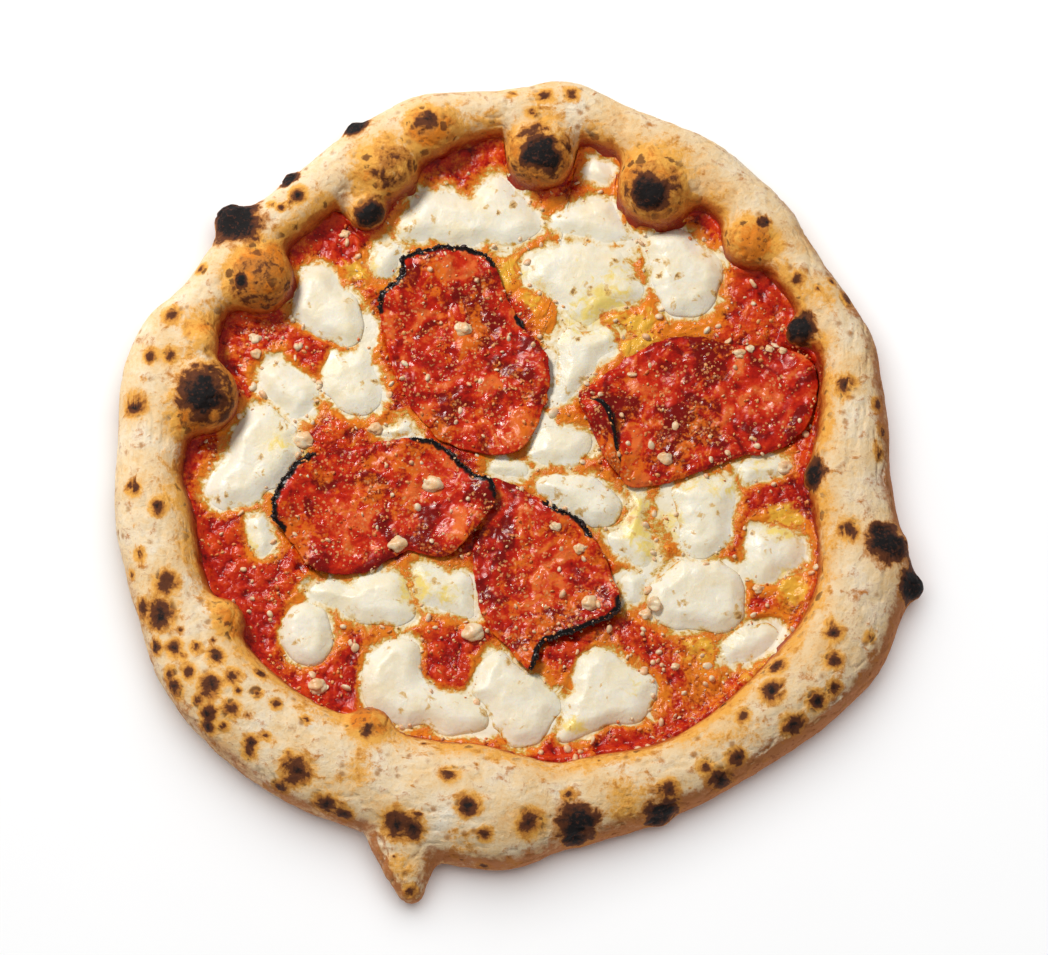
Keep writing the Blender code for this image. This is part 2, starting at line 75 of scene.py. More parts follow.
PICTURE_UP = np.array((0.0, math.sin(SIGHT_ELEVATION), math.cos(SIGHT_ELEVATION)))
SIGHT_START = 400.0
TOPPING_BOTTOM = 5.5
FOOT_SHARE = 0.985

Outline = tuple[tuple[float, float], ...]
Table = tuple[tuple[float, ...], ...]
Colour = tuple[float, float, float]
Socket = bpy.types.NodeSocket


# ------------------------------------------------------------------------------------ plain numbers


class LatticeNoise:
    """Smooth and cellular noise on points, from a seeded lattice."""

    ENTRIES = 256
    GAIN = 1.5
    LAYER_SHIFT = 37.7

    def __init__(self, seed: int) -> None:
        """Shuffles the lattice.

        Args:
            seed: picks the lattice, so that two noises differ.
        """
        draw = np.random.default_rng(seed)
        self.order = draw.permutation(self.ENTRIES)
        slopes = draw.normal(size=(self.ENTRIES, 3))
        self.slopes = slopes / np.linalg.norm(slopes, axis=1)[:, None]
        self.places = draw.random((self.ENTRIES, 3))
        self.values = draw.random(self.ENTRIES)

    def index(self, cell: np.ndarray) -> np.ndarray:
        """The lattice entry of each whole-numbered cell.

        Args:
            cell: N by 3 whole numbers.

        Returns:
            One entry for each cell.
        """
        first = self.order[cell[:, 0] % self.ENTRIES]
        second = self.order[(first + cell[:, 1]) % self.ENTRIES]
        return self.order[(second + cell[:, 2]) % self.ENTRIES]

    def smooth(self, points: np.ndarray, size: float) -> np.ndarray:
        """Gradient noise between about -1 and 1.

        Args:
            points: N by 3 places.
            size: width of one swell, in the points' unit.

        Returns:
            One value for each point.
        """
        place = points / size
        cell = np.floor(place).astype(np.int64)
        part = place - cell
        fade = part**3 * (part * (part * 6 - 15) + 10)
        total = np.zeros(len(points))
        for corner in itertools.product((0, 1), repeat=3):
            slope = ((part - corner) * self.slopes[self.index(cell + corner)]).sum(axis=1)
            total += slope * np.prod(np.where(corner, fade, 1 - fade), axis=1)
        return self.GAIN * total

    def layered(self, points: np.ndarray, size: float, layers: int = 3, fall: float = 0.5) -> np.ndarray:
        """Several noises on each other, each half the size of the last.

        Args:
            points: N by 3 places.
            size: width of the widest swell.
            layers: how many noises.
            fall: strength of each beside the one before.

        Returns:
            One value for each point, between about -1 and 1.
        """
        total = np.zeros(len(points))
        weight = 0.0
        for layer in range(layers):
            total += fall**layer * self.smooth(points + self.LAYER_SHIFT * layer, size / 2**layer)
            weight += fall**layer
        return total / weight

    def cells(self, points: np.ndarray, size: float) -> tuple[np.ndarray, np.ndarray]:
        """Cellular noise.

        Args:
            points: N by 3 places.
            size: width of one cell.

        Returns:
            Distance to the nearest seed, in cells, and that seed's own value from 0 to 1.
        """
        place = points / size
        cell = np.floor(place).astype(np.int64)
        nearest = np.full(len(points), math.inf)
        value = np.zeros(len(points))
        for step in itertools.product((-1, 0, 1), repeat=3):
            entry = self.index(cell + step)
            away = np.linalg.norm(cell + step + self.places[entry] - place, axis=1)
            closer = away < nearest
            value = np.where(closer, self.values[entry], value)
            nearest = np.where(closer, away, nearest)
        return nearest, value


def smoothstep(low: float, high: float, value: np.ndarray) -> np.ndarray:
    """A soft step from 0 at low to 1 at high."""
    share = np.clip((value - low) / (high - low), 0.0, 1.0)
    return share * share * (3 - 2 * share)


def cubic(four: Iterable[np.ndarray], part: np.ndarray) -> np.ndarray:
    """A smooth curve through four values in a row, between the second and the third.

    Args:
        four: the values.
        part: how far along, from 0 to 1.

    Returns:
        The curve's values.
    """
    before, here, after, later = four
    bend = 2 * before - 5 * here + 4 * after - later
    twist = 3 * (here - after) + later - before
    return here + 0.5 * part * (after - before + part * (bend + part * twist))


def along_ring(table: np.ndarray, turns: np.ndarray) -> np.ndarray:
    """Reads a closed smooth curve through a ring of points.

    Args:
        table: the points, one row each.
        turns: places round the curve, where 1 is a whole turn.

    Returns:
        The curve's points at those places.
    """
    table = np.asarray(table, dtype=float)
    place = (turns * len(table)) % len(table)
    index = place.astype(int)
    return cubic((table[(index + step) % len(table)] for step in (-1, 0, 1, 2)), (place - index)[:, None])


def in_batches(points: np.ndarray, batch: int = 8192) -> Iterator[np.ndarray]:
    """Some thousand points at a time, so that working on them takes little memory."""
    return (points[first : first + batch] for first in range(0, len(points), batch))


def polygon_distance(points: np.ndarray, polygon: np.ndarray) -> np.ndarray:
    """Distance from each point to a polygon, negative inside it.

    Args:
        points: N by 2 places.
        polygon: M by 2 corners.

    Returns:
        N distances.
    """
    side = np.roll(polygon, -1, axis=0) - polygon
    length = (side * side).sum(axis=1)
    rise = np.where(side[:, 1] == 0, 1e-9, side[:, 1])
    result = []
    for some in in_batches(points):
        away = some[:, None, :] - polygon[None, :, :]
        along = np.clip((away * side).sum(axis=2) / length, 0.0, 1.0)
        nearest = np.linalg.norm(away - along[:, :, None] * side, axis=2).min(axis=1)
        py = some[:, 1, None]
        crosses = (polygon[:, 1] > py) != (polygon[:, 1] + side[:, 1] > py)
        at = polygon[:, 0] + (py - polygon[:, 1]) / rise * side[:, 0]
        inside = (crosses & (some[:, 0, None] < at)).sum(axis=1) % 2 == 1
        result.append(np.where(inside, -nearest, nearest))
    return np.concatenate(result)


def flat(points: np.ndarray, height: float = 0.0) -> np.ndarray:
    """Plan places given one height, for noise and meshes."""
    return np.column_stack((points[:, 0], points[:, 1], np.full(len(points), height)))


def warped(
    noise: LatticeNoise, place: np.ndarray, width: float, depth: float, parts: tuple[float, float, float]
) -> np.ndarray:
    """Places pushed about along each axis by its own part of a noise, to bend the pattern read at them."""
    return place + np.column_stack([depth * noise.layered(place + part, width, 2) for part in parts])


def softest(values: list[np.ndarray], melt: float) -> np.ndarray:
    """The least of several distances, melted together where they are alike.

    Args:
        values: distances of the same length.
        melt: how far the melting reaches.

    Returns:
        The joined distance.
    """
    total = values[0]
    for one in values[1:]:
        share = np.clip(0.5 + 0.5 * (total - one) / melt, 0.0, 1.0)
        total = total * (1 - share) + one * share - melt * share * (1 - share)
    return total


# -------------------------------------------------------------------------------- meshes and pieces


def make_mesh(
    name: str, points: np.ndarray, faces: list[list[int]], facts: dict[str, np.ndarray] | None = None
) -> bpy.types.Mesh:
    """A smooth mesh in metres from millimetre points.

    Args:
        name: the mesh's name.
        points: N by 3 places in millimetres.
        faces: the vertex numbers of each face.
        facts: values kept on the vertices under their names.

    Returns:
        The mesh.
    """
    mesh = bpy.data.meshes.new(name)
    mesh.from_pydata((points * MM).tolist(), [], faces)
    for fact, values in (facts or {}).items():
        store_fact(mesh, fact, values)
    mesh.shade_smooth()
    return mesh


def store_fact(mesh: bpy.types.Mesh, fact: str, values: np.ndarray) -> None:
    """Keeps one number for each vertex under a name."""
    layer = mesh.attributes.new(fact, "FLOAT", "POINT")
    layer.data.foreach_set("value", np.asarray(values, dtype=np.float32))


def read_points(mesh: bpy.types.Mesh) -> np.ndarray:
    """A mesh's vertices.

    Args:
        mesh: the mesh.

    Returns:
        N by 3 places in millimetres.
    """
    flatly = np.empty(3 * len(mesh.vertices), dtype=np.float32)
    mesh.vertices.foreach_get("co", flatly)
    return flatly.reshape(-1, 3).astype(float) / MM


def write_points(mesh: bpy.types.Mesh, points: np.ndarray) -> None:
    """Moves a mesh's vertices to millimetre places."""
    mesh.vertices.foreach_set("co", (points * MM).astype(np.float32).ravel())
    mesh.update()


def read_normals(mesh: bpy.types.Mesh) -> np.ndarray:
    """A mesh's vertex normals.

    Args:
        mesh: the mesh.

    Returns:
        N by 3 directions.
    """
    flatly = np.empty(3 * len(mesh.vertices), dtype=np.float32)
    mesh.vertex_normals.foreach_get("vector", flatly)
    return flatly.reshape(-1, 3).astype(float)


def hold(name: str, mesh: bpy.types.Mesh) -> bpy.types.Object:
    """Puts a mesh in the scene.

    Args:
        name: the object's name.
        mesh: its mesh.

    Returns:
        The object.
    """
    holder = bpy.data.objects.new(name, mesh)
    bpy.context.scene.collection.objects.link(holder)
    return holder


def opened(*meshes: bpy.types.Mesh) -> bmesh.types.BMesh:
    """One bmesh with the shapes of some meshes.

    Args:
        meshes: the meshes.

    Returns:
        The bmesh.
    """
    bm = bmesh.new()
    for mesh in meshes:
        bm.from_mesh(mesh)
    return bm


def closed(bm: bmesh.types.BMesh, mesh: bpy.types.Mesh) -> bpy.types.Mesh:
    """Writes a bmesh into a mesh, and frees the bmesh.

    Args:
        bm: the bmesh.
        mesh: the mesh.

    Returns:
        The mesh.
    """
    bm.to_mesh(mesh)
    bm.free()
    return mesh


def add_piece(
    name: str, mesh: bpy.types.Mesh, finish: bpy.types.Material, nodes: tuple[str, ...] = ()
) -> bpy.types.Object:
    """Puts a mesh in the scene as a piece of the pizza.

    Args:
        name: the piece's name.
        mesh: its mesh, in place.
        finish: its material.
        nodes: the solids that it stands for.

    Returns:
        The object.
    """
    piece = hold(name, mesh)
    mesh.materials.clear()
    mesh.materials.append(finish)
    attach(piece, BODY)
    if nodes:
        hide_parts(*nodes)
    LOG.info("%s: %d faces", name, len(mesh.polygons))
    return piece


def settle(piece: bpy.types.Object) -> bpy.types.Mesh:
    """Replaces an object's mesh with what its modifiers make of it.

    Args:
        piece: the object.

    Returns:
        The new mesh.
    """
    graph = bpy.context.evaluated_depsgraph_get()
    mesh = bpy.data.meshes.new_from_object(piece.evaluated_get(graph))
    piece.modifiers.clear()
    piece.data = mesh
    return mesh


def surface_tree(mesh: bpy.types.Mesh) -> BVHTree:
    """A search tree of a mesh in metres."""
    points = [vertex.co for vertex in mesh.vertices]
    return BVHTree.FromPolygons(points, [polygon.vertices for polygon in mesh.polygons])


def dropped(tree: BVHTree, right: float, up: float) -> np.ndarray | None:
    """Where the line of sight through a place in the picture meets a surface.

    Args:
        tree: the surface.
        right: millimetres right of the pizza's middle in the picture.
        up: millimetres above it in the picture.

    Returns:
        The place in millimetres, or None where the line misses.
    """
    start = right * np.array((1.0, 0.0, 0.0)) + up * PICTURE_UP + SIGHT_START * SIGHT
    hit = tree.ray_cast(Vector(start * MM), Vector(-SIGHT))[0]
    return None if hit is None else np.array(hit) / MM


# ---------------------------------------------------------------------------------------- materials


def plug(socket: Socket, value: object) -> None:
    """Links a node's input to another socket, or sets it to a value.

    Args:
        socket: the input.
        value: the socket or value.
    """
    if isinstance(value, Socket):
        socket.id_data.links.new(value, socket)
    else:
        socket.default_value = value


def arithmetic(nodes: bpy.types.Nodes, operation: str, *values: object) -> Socket:
    """One step of arithmetic in a node tree.

    Args:
        nodes: the tree's nodes.
        operation: the Math node's operation.
        values: numbers or sockets that it works on.

    Returns:
        The result's socket.
    """
    node = nodes.new("ShaderNodeMath")
    node.operation = operation
    for socket, value in zip(node.inputs, values):
        plug(socket, value)
    return node.outputs[0]


class Shading:
    """A node material under construction."""

    def __init__(self, name: str) -> None:
        """Starts a Principled material.

        Args:
            name: the material's name.
        """
        self.material = bpy.data.materials.new(name)
        self.material.use_nodes = True
        self.nodes = self.material.node_tree.nodes
        self.shader = self.nodes["Principled BSDF"]
        self.place = self.nodes.new("ShaderNodeTexCoord").outputs["Object"]

    def set(self, **values: object) -> None:
        """Feeds the shader's sockets, named with underscores for spaces."""
        for name, value in values.items():
            plug(self.shader.inputs[name.replace("_", " ")], value)

    def fact(self, name: str) -> Socket:
        """A number kept on the vertices.

        Args:
            name: the fact's name.

        Returns:
            Its socket.
        """
        node = self.nodes.new("ShaderNodeAttribute")
        node.attribute_name = name
        return node.outputs["Fac"]

    def noise(self, size: float, detail: float = 3.0, rough: float = 0.55, warp: float = 0.0) -> Socket:
        """Noise from 0 to 1.

        Args:
            size: width of one swell in millimetres.
            detail: how many finer layers.
            rough: strength of the finer layers.
            warp: how much the noise is twisted.

        Returns:
            The noise's factor.
        """
        node = self.nodes.new("ShaderNodeTexNoise")
        plug(node.inputs["Vector"], self.place)
        settings = {"Scale": 1 / (size * MM), "Detail": detail, "Roughness": rough, "Distortion": warp}
        for name, value in settings.items():
            node.inputs[name].default_value = value
        return node.outputs["Fac"]

    def cells(self, size: float, feature: str = "F1") -> Socket:
        """Cellular noise.

        Args:
            size: width of one cell in millimetres.
            feature: which of the Voronoi features.

        Returns:
            The distance to the nearest cell's seed.
        """
        node = self.nodes.new("ShaderNodeTexVoronoi")
        node.feature = feature
        plug(node.inputs["Vector"], self.place)
        node.inputs["Scale"].default_value = 1 / (size * MM)
        return node.outputs["Distance"]

    def plus(self, value: object, other: Socket, share: float) -> Socket:
        """A value with a share of another added."""
        return arithmetic(self.nodes, "MULTIPLY_ADD", other, share, value)

    def ruffled(self, value: object, noise: Socket, swing: float) -> Socket:
        """A value that a noise, which swings about a half, moves up and down."""
        return self.plus(value, arithmetic(self.nodes, "SUBTRACT", noise, 0.5), swing)

    def greater(self, first: Socket, second: Socket) -> Socket:
        """The greater of two values."""
        return arithmetic(self.nodes, "MAXIMUM", first, second)

    def product(self, first: Socket, *others: object) -> Socket:
        """Several values multiplied.

        Args:
            first: the first value.
            others: the rest.

        Returns:
            The product.
        """
        for other in others:
            first = arithmetic(self.nodes, "MULTIPLY", first, other)
        return first

    def weighed(self, first: tuple[Socket, float], *others: tuple[Socket, float]) -> Socket:
        """Several values added, each by its own weight.

        Args:
            first: the first value and its weight.
            others: the rest.

        Returns:
            The sum.
        """
        total = self.product(*first)
        for value, weight in others:
            total = self.plus(total, value, weight)
        return total

    def step(self, value: Socket, low: float, high: float, start: float = 0.0, end: float = 1.0) -> Socket:
        """A soft step of a value.

        Args:
            value: the value.
            low: where the step starts.
            high: where it ends.
            start: what it gives below.
            end: what it gives above.

        Returns:
            The stepped value.
        """
        node = self.nodes.new("ShaderNodeMapRange")
        node.interpolation_type = "SMOOTHSTEP"
        names = ("Value", "From Min", "From Max", "To Min", "To Max")
        for name, number in zip(names, (value, low, high, start, end)):
            plug(node.inputs[name], number)
        return node.outputs["Result"]

    def ramp(self, value: Socket, *stops: tuple[float, Colour]) -> Socket:
        """A run of colours.

        Args:
            value: what picks the colour.
            stops: places from 0 to 1 with their colours.

        Returns:
            The colour.
        """
        node = self.nodes.new("ShaderNodeValToRGB")
        run = node.color_ramp
        while len(run.elements) < len(stops):
            run.elements.new(1.0)
        for element, (at, colour) in zip(run.elements, stops):
            element.position = at
            element.color = (*colour, 1.0)
        plug(node.inputs["Fac"], value)
        return node.outputs["Color"]

    def blend(self, share: Socket, first: object, second: object) -> Socket:
        """A mix of two colours.

        Args:
            share: how much of the second there is.
            first: the colour below.
            second: the colour above.

        Returns:
            The mixed colour.
        """
        node = self.nodes.new("ShaderNodeMix")
        node.data_type = "RGBA"
        node.clamp_factor = True
        plug(node.inputs["Factor"], share)
        colours = (one for one in node.inputs if one.type == "RGBA")
        for socket, colour in zip(colours, (first, second)):
            plug(socket, (*colour, 1.0) if isinstance(colour, tuple) else colour)
        return next(one for one in node.outputs if one.type == "RGBA")

    def coat(
        self, base: object, colour: object, value: Socket, low: float, high: float, most: float = 1.0
    ) -> Socket:
        """Lays a colour over the base where a value is high, from none at low to the most at high."""
        return self.blend(self.step(value, low, high, 0.0, most), base, colour)

    def bump(self, *layers: tuple[Socket, float]) -> None:
        """Roughens the surface.

        Args:
            layers: heights from 0 to 1 with their depths in millimetres, coarsest first.
        """
        below = self.shader.inputs["Normal"]
        for height, depth in reversed(layers):
            node = self.nodes.new("ShaderNodeBump")
            node.inputs["Distance"].default_value = depth * MM
            plug(node.inputs["Height"], height)
            plug(below, node.outputs["Normal"])
            below = node.inputs["Normal"]


@dataclass(frozen=True)
class DoughFinish:
    """Floury baked dough: cream, toasted gold in mottles, black where burned, red where sauce touched it, and
    russet low on the outside, partly browning and partly painted shade.
    """

    chalk: Colour = (0.97, 0.87, 0.70)
    flour: Colour = (0.95, 0.74, 0.47)
    cream: Colour = (0.92, 0.64, 0.33)
    tan: Colour = (0.86, 0.49, 0.19)
    gold: Colour = (0.92, 0.44, 0.062)
    amber: Colour = (0.80, 0.24, 0.014)
    # Russet low on the outside: partly browning, partly painted shade on the side away from the light
    freckle: Colour = (0.42, 0.17, 0.035)
    russet: Colour = (0.48, 0.155, 0.036)
    rust: Colour = (0.56, 0.20, 0.028)
    umber: Colour = (0.30, 0.075, 0.012)
    brown: Colour = (0.13, 0.034, 0.008)
    ember: Colour = (0.11, 0.028, 0.012)
    coal: Colour = (0.006, 0.004, 0.004)
    orange: Colour = (0.62, 0.17, 0.018)
    stain: Colour = (0.34, 0.022, 0.004)

    def build(self) -> bpy.types.Material:
        """Makes the material.

        Returns:
            The material.
        """
        look = Shading("baked_dough_skin")
        broad = look.noise(17, 4, 0.55, 0.3)
        mottle = look.noise(5.5, 5, 0.62, 0.5)
        fine = look.noise(1.7, 5, 0.7)
        grain = look.noise(0.55, 3, 0.7)
        rough = look.weighed((mottle, 0.5), (fine, 0.5))
        pale = look.weighed((rough, 0.5), (broad, 0.4), (grain, 0.1))
        base = look.ramp(pale, (0.39, self.tan), (0.455, self.cream), (0.52, self.flour), (0.62, self.chalk))
        bake = look.fact("bake")
        toast = look.ruffled(bake, rough, 2.3)
        base = look.coat(base, self.gold, toast, 0.10, 0.58, 0.95)
        base = look.coat(base, self.amber, toast, 0.62, 1.15)
        # Russet on the outer slope: partly browned dough, partly painted shade
        russet = look.ruffled(look.fact("russet"), rough, 2.9)
        base = look.coat(base, self.russet, russet, 0.2, 1.1, 0.96)
        freckle = look.step(look.plus(look.cells(6.5), fine, 0.35), 0.46, 0.24)
        gathered = look.step(look.plus(broad, mottle, 0.5), 0.68, 0.84)
        base = look.blend(look.product(freckle, gathered, 0.8), base, self.freckle)
        speck = look.step(look.ruffled(look.cells(5.5), mottle, 1.8), 0.30, 0.12)
        base = look.blend(look.product(speck, look.step(bake, 0.35, 0.7), 0.85), base, self.brown)
        sponge = look.step(look.ruffled(look.cells(2.4), fine, 2.4), 0.34, 0.10)
        # Umber pits where the dough is toasted, and where the painted shade is deep
        toasted_or_shaded = look.greater(look.step(toast, 0.60, 1.0, 0.0, 0.8), look.step(russet, 0.75, 1.3, 0.0, 0.8))
        base = look.blend(look.product(sponge, toasted_or_shaded), base, self.umber)
        stain = look.ruffled(look.fact("stain"), rough, 1.8)
        base = look.coat(base, self.orange, stain, 0.15, 0.75)
        base = look.coat(base, self.stain, stain, 0.65, 1.1)
        burn = look.ruffled(look.ruffled(look.fact("char"), mottle, 1.3), fine, 0.4)
        base = look.coat(base, self.rust, burn, 0.04, 0.32, 0.9)
        base = look.coat(base, self.brown, burn, 0.26, 0.46)
        base = look.coat(base, self.coal, burn, 0.50, 0.82)
        ember = look.product(look.step(fine, 0.54, 0.64), look.step(burn, 0.3, 0.6, 0.0, 0.75))
        base = look.blend(ember, base, self.ember)
        gloss = look.step(stain, 0.3, 1.0, 0.75, 0.36)
        look.set(Base_Color=base, Roughness=gloss, Specular_IOR_Level=0.3)
        look.bump((mottle, 0.7), (fine, 0.45), (grain, 0.14))
        return look.material


@dataclass(frozen=True)
class Shore:
    """Melted cheese, and the oily border where it thins out into sauce, alike on both surfaces.

    The fact `shore` tells how far a place is from the cheese in millimetres, negative inside it.
    """

    ivory: Colour = (0.90, 0.79, 0.55)
    white: Colour = (0.94, 0.88, 0.73)
    oil: Colour = (0.92, 0.67, 0.10)
    cream: Colour = (0.86, 0.66, 0.34)
    olive: Colour = (0.62, 0.36, 0.045)
    gold: Colour = (0.78, 0.36, 0.05)
    orange: Colour = (0.74, 0.18, 0.012)
    dot: Colour = (0.68, 0.38, 0.045)
    scorch: Colour = (0.20, 0.055, 0.006)
    ragged: float = 15.0
    frayed: float = 5.0

    def cheese(self, look: Shading) -> Socket:
        """The cheese's own colour, with yellow oil and small scorched dots.

        Args:
            look: the material it is for.

        Returns:
            The colour.
        """
        broad = look.noise(10, 3, 0.5, 0.2)
        mottle = look.noise(3.4, 4, 0.6, 0.6)
        base = look.ramp(look.weighed((broad, 0.6), (mottle, 0.4)), (0.36, self.ivory), (0.58, self.white))
        pools = look.fact("yellow")
        base = look.coat(base, self.oil, look.ruffled(pools, mottle, 2.4), 0.25, 0.95, 0.85)
        gathered = look.plus(look.noise(11, 3, 0.6, 0.5), pools, 0.05)
        dot = look.ruffled(look.cells(5.0), mottle, 1.9)
        dots = look.product(look.step(dot, 0.34, 0.12), look.step(gathered, 0.52, 0.58), 0.75)
        cores = look.product(look.step(dot, 0.10, 0.0), look.step(gathered, 0.57, 0.63), 0.7)
        return look.blend(cores, look.blend(dots, base, self.dot), self.scorch)

    def place(self, look: Shading) -> Socket:
        """The fact `shore` with a ragged and frayed edge, in millimetres from the cheese."""
        place = look.ruffled(look.fact("shore"), look.noise(7.5, 5, 0.6, 0.7), self.ragged)
        return look.ruffled(place, look.noise(1.6, 3, 0.6), self.frayed)

    def dress(self, look: Shading, place: Socket, inside: object, outside: object) -> Socket:
        """The colours from the cheese, through cream, gold and orange oil, to what lies outside.

        Args:
            look: the material it is for.
            place: millimetres from the cheese.
            inside: the cheese's colour.
            outside: the colour well away from it.

        Returns:
            The colour.
        """
        tint = look.coat(self.olive, self.gold, look.noise(6, 3, 0.6), 0.44, 0.58)
        base = look.coat(inside, self.cream, place, -1.6, -0.2, 0.85)
        base = look.coat(base, tint, place, -0.3, 1.0)
        base = look.coat(base, self.orange, place, 0.8, 2.2)
        return look.coat(base, outside, place, 1.9, 3.8)


@dataclass(frozen=True)
class SauceFinish:
    """Cooked tomato pulp under oil, with cheese thinned out over it, and painted shade and painted highlight
    on its relief.
    """

    # The darkest red is partly the pulp's own colour and partly painted shade in its hollows; the lightest
    # red is partly a painted highlight on its lumps
    deep_red_and_shade: Colour = (0.12, 0.002, 0.001)
    red: Colour = (0.48, 0.009, 0.002)
    light: Colour = (0.76, 0.070, 0.006)
    orange: Colour = (0.86, 0.25, 0.012)
    oil: Colour = (0.88, 0.50, 0.050)

    def build(self) -> bpy.types.Material:
        """Makes the material.

        Returns:
            The material.
        """
        look = Shading("tomato_pulp")
        mottle = look.noise(5, 4, 0.6, 0.6)
        fine = look.noise(1.3, 4, 0.65)
        bits = look.cells(2.2, "SMOOTH_F1")
        rough = look.weighed((mottle, 0.5), (fine, 0.5))
        # The pulp's relief steers its colour besides noise: painted shade in the hollows, painted highlight
        # on the lumps
        tone = look.plus(look.plus(-0.35, rough, 1.3), look.fact("pulp"), 0.4)
        base = look.ramp(tone, (0.22, self.deep_red_and_shade), (0.46, self.red), (0.80, self.light))
        base = look.coat(base, self.orange, look.ruffled(look.fact("orange"), rough, 2.4), 0.35, 1.0, 0.92)
        base = look.coat(base, self.oil, look.ruffled(look.fact("gold"), mottle, 2.0), 0.3, 0.8, 0.85)
        shore = Shore()
        place = shore.place(look)
        base = shore.dress(look, place, shore.cheese(look), base)
        gloss = look.plus(look.step(fine, 0.3, 0.7, 0.32, 0.46), look.step(place, 0.5, 3.0), -0.2)
        look.set(Base_Color=base, Roughness=gloss, Specular_IOR_Level=0.26)
        pulpy = look.product(mottle, look.step(place, 0.0, 3.0, 0.35, 1.0))
        look.bump((pulpy, 0.7), (bits, 0.2), (fine, 0.12))
        return look.material


@dataclass(frozen=True)
class MozzarellaFinish:
    """Melted mozzarella: white, and thinned out into cream, gold and orange oil at its edge."""

    under: Colour = (0.45, 0.03, 0.006)
    glow_reach: Colour = (1.0, 0.75, 0.4)

    def build(self) -> bpy.types.Material:
        """Makes the material.

        Returns:
            The material.
        """
        look = Shading("melted_mozzarella")
        shore = Shore()
        base = shore.dress(look, shore.place(look), shore.cheese(look), self.under)
        mottle = look.noise(4.4, 3, 0.55, 0.4)
        fine = look.noise(1.2, 4, 0.65)
        gloss = look.step(mottle, 0.3, 0.7, 0.28, 0.46)
        look.set(Base_Color=base, Roughness=gloss, Specular_IOR_Level=0.4)
        look.set(Subsurface_Weight=0.2, Subsurface_Scale=0.0025, Subsurface_Radius=self.glow_reach)
        look.bump((mottle, 0.4), (fine, 0.08))
        return look.material


@dataclass(frozen=True)
class SalamiFinish:
    """Cured meat red with paprika, with pale fat, orange oil and a burned edge, darker in its hollows, partly
    from pooled oil and partly from painted shade.
    """

    meat: Colour = (0.21, 0.003, 0.001)
    paprika: Colour = (0.46, 0.009, 0.002)
    rose: Colour = (0.62, 0.026, 0.003)
    brick: Colour = (0.80, 0.15, 0.028)
    oil: Colour = (0.80, 0.16, 0.006)
    fat: Colour = (0.80, 0.36, 0.13)
    scorch: Colour = (0.06, 0.006, 0.003)
    coal: Colour = (0.006, 0.004, 0.004)

    def build(self) -> bpy.types.Material:
        """Makes the material.

        Returns:
            The material.
        """
        look = Shading("cured_salami")
        broad = look.noise(14, 2, 0.5, 0.9)
        mottle = look.noise(5.4, 4, 0.58, 0.9)
        fine = look.noise(1.2, 3, 0.6)
        rough = look.weighed((mottle, 0.65), (fine, 0.35))
        # The slice's relief steers its colour besides noise: darker in the hollows, partly pooled oil and
        # partly painted shade
        tone = look.plus(look.plus(-0.35, rough, 1.3), look.fact("relief"), 0.4)
        tone = look.ruffled(tone, broad, 2.3)
        base = look.ramp(tone, (0.28, self.meat), (0.48, self.paprika), (0.70, self.rose), (0.95, self.brick))
        oily = look.ruffled(look.noise(21, 3, 0.5, 0.5), rough, 1.6)
        base = look.coat(base, self.oil, oily, 0.53, 0.76, 0.85)
        marble = look.step(look.ruffled(look.cells(1.7), fine, 1.4), 0.36, 0.16)
        gathered = look.step(look.noise(9, 3, 0.6, 0.6), 0.44, 0.56)
        base = look.blend(look.product(marble, gathered, 0.75), base, self.fat)
        burn = look.ruffled(look.fact("burn"), rough, 1.6)
        base = look.coat(base, self.scorch, burn, 0.2, 0.5)
        base = look.coat(base, self.coal, burn, 0.45, 0.7)
        gloss = look.step(mottle, 0.35, 0.65, 0.14, 0.32)
        look.set(Base_Color=base, Roughness=gloss, Specular_IOR_Level=0.25)
        look.bump((look.noise(7, 1, 0.5, 0.9), 0.8), (fine, 0.10))
        return look.material


@dataclass(frozen=True)
class CrumbFinish:
    """Small grains: pale, with a second colour on some of them."""

    name: str
    pale: Colour
    stained: Colour
    gloss: float = 0.35

    def build(self) -> bpy.types.Material:
        """Makes the material.

        Returns:
            The material.
        """
        look = Shading(self.name)
        base = look.ramp(look.noise(5, 3, 0.6), (0.4, self.stained), (0.62, self.pale))
        look.set(Base_Color=base, Roughness=self.gloss, Specular_IOR_Level=0.5)
        look.set(Subsurface_Weight=0.15, Subsurface_Scale=0.001)
        look.bump((look.noise(0.8, 2, 0.6), 0.15))
        return look.material


# -------------------------------------------------------------------------------------------- dough


class Bake(Enum):
    """How far a bubble was baked."""

    PALE = 0.35
    GOLD = 0.75
    BROWN = 1.0
    BLACK = 1.3


@dataclass(frozen=True)
class Bubble:
    """A bubble blown in the rim: its ball of dough, how brown it is, and its burned cap."""

    x: float
    y: float
    z: float
    radius: float
    bake: Bake
    char: float = 0.0


